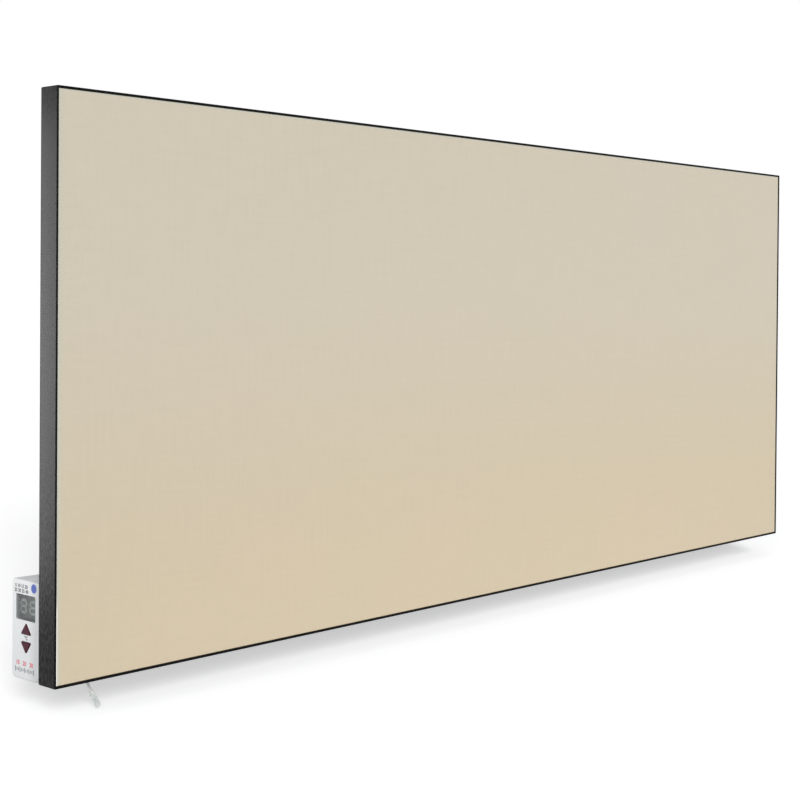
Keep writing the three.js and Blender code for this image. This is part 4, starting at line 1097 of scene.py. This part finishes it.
def printed_text(words, across, up, size):
    """The mesh of a line of figures, centred at a place on the face."""
    curve = bpy.data.curves.new("figures", "FONT")
    curve.body = words
    curve.size = size
    curve.align_x = "CENTER"
    curve.align_y = "CENTER"
    curve.extrude = ink_height / 2
    curve.offset = figure_weight
    curve.resolution_u = 3
    letters = bpy.data.objects.new("figures", curve)
    scene.collection.objects.link(letters)
    graph = bpy.context.evaluated_depsgraph_get()
    mesh = bpy.data.meshes.new_from_object(letters.evaluated_get(graph))
    bpy.data.objects.remove(letters)
    for vertex in mesh.vertices:
        x, y, z = vertex.co
        vertex.co = on_face(across + x, up + y, z + ink_height / 2)
    return mesh


def printed_bar(across, up, width, height):
    return prism("mark", rectangle(width, height, across, up), 0, ink_height, on_face)


def add_print(name, ink_name, colour, *marks):
    """One film of ink made of marks."""
    film = add_object(name, join_meshes(name, marks))
    ink = grained(ink_name, colour, 0.12, 0.5, scale=3000, mottle=0.2, depth=0.004 * mm)
    settle(film, ink, "box_plastic", "heater")


face_centre = box_width / 2
line_centre = 14 * mm
upper_line = 79.2 * mm
lower_line = 75.2 * mm
line_size = 4.2 * mm
unit_size = 4.4 * mm
red_line = 13.8 * mm
red_size = 5.4 * mm
dot_centre = 32.3 * mm
dot_radius = 3.9 * mm
tick_count = 13
tick_line = 8.2 * mm
tick_pitch = 2.2 * mm
tick_width = 0.8 * mm
long_tick = 4.6 * mm
short_tick = 2.6 * mm
ticks = [
    printed_bar(
        face_centre + (tick - tick_count // 2) * tick_pitch, tick_line,
        tick_width, short_tick if tick % 3 else long_tick,
    )
    for tick in range(tick_count)
]
add_print(
    "grey_print", "grey_ink", (0.041, 0.041, 0.053),
    printed_text("5 10 15 20", line_centre, upper_line, line_size),
    printed_text("25 30 35 40", line_centre, lower_line, line_size),
    printed_text("°C", box_width - button_a, button_rise, unit_size),
    *ticks,
)
red_figures = printed_text("10   20   30", face_centre, red_line, red_size)
add_print("red_print", "red_ink", (0.58, 0.09, 0.125), red_figures)
dot = prism("dot", arc(dot_centre, upper_line, dot_radius, 0, 360, 40)[:-1], 0, ink_height, on_face)
add_print("blue_dot", "blue_ink", (0.026, 0.065, 0.35), dot)

# Inside the box: the green circuit board with its relay, capacitor and terminal, the two tact switches,
# the earth lug and the screws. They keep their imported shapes.
laminate = grained("laminate", (0.03, 0.14, 0.06), 0.2, 0.35, scale=1200, stretch=(1, 1, 0.3))
plunger_plastic = grained("plunger_plastic", (0.02, 0.022, 0.024), 0.2, 0.5)
switch_can = grained("switch_can", (0.5, 0.51, 0.52), 0.1, 0.35, depth=0.01 * mm, Metallic=1)
lug_metal = grained("lug_metal", (0.5, 0.48, 0.42), 0.12, 0.3, depth=0.01 * mm, Metallic=1)
dress(laminate, "circuit_board")
dress(grained("relay_plastic", (0.03, 0.11, 0.38), 0.1, 0.4), "relay")
dress(grained("capacitor_plastic", (0.46, 0.25, 0.045), 0.12, 0.45), "supply_capacitor")
dress(grained("terminal_plastic", (0.045, 0.27, 0.12), 0.1, 0.45), "control_terminal")
dress(plunger_plastic, "switch_plunger_up", "switch_plunger_down")
dress(switch_can, "tact_switch_up", "tact_switch_down", "thermal_cutout")
dress(lug_metal, "earth_lug")
dress(zinc_plate, "box_screw_1", "box_screw_2", "mount_screw_1", "mount_screw_2")

# The leads: red, blue and green sheathed wires from the heating cable and the lug to the terminal. Black
# rubber grommets line the holes that the leads pass through.
for lead, name, colour in (
    ("heater_lead_live", "lead_red", (0.27, 0.03, 0.02)),
    ("heater_lead_neutral", "lead_blue", (0.03, 0.11, 0.32)),
    ("earth_lead", "lead_green", (0.2, 0.32, 0.04)),
):
    dress(grained(name, colour, 0.15, 0.45), lead)
rubber = grained("grommet_rubber", (0.018, 0.016, 0.014), 0.3, 0.75, scale=1500)
dress(rubber, "wire_grommet", "sensor_grommet")

# The gland for the supply cord, in moulded grey nylon, screwed into the box's hidden end and held by a nut
# from inside.
gland_nylon = grained("gland_nylon", (0.25, 0.26, 0.28), 0.1, 0.5, scale=1500)
dress(gland_nylon, "cable_gland", "gland_nut")

# The air probe: a stiff milky jacketed lead, which leans out below the panel, and at its end an epoxy bead
# under a short clear sleeve.
jacket = grained("milky_jacket", (0.84, 0.84, 0.82), 0.05, 0.4, scale=1500)
bead_epoxy = grained("bead_epoxy", (0.6, 0.61, 0.6), 0.1, 0.3, scale=1500)
clear_sleeve = grained(
    "clear_sleeve", (0.9, 0.92, 0.915), 0.02, 0.3, scale=800, depth=0.001 * mm,
    Transmission_Weight=1, IOR=1.35,
)
dress(jacket, "sensor_lead")
dress(bead_epoxy, "sensor_bead")
dress(clear_sleeve, "sensor_sleeve")
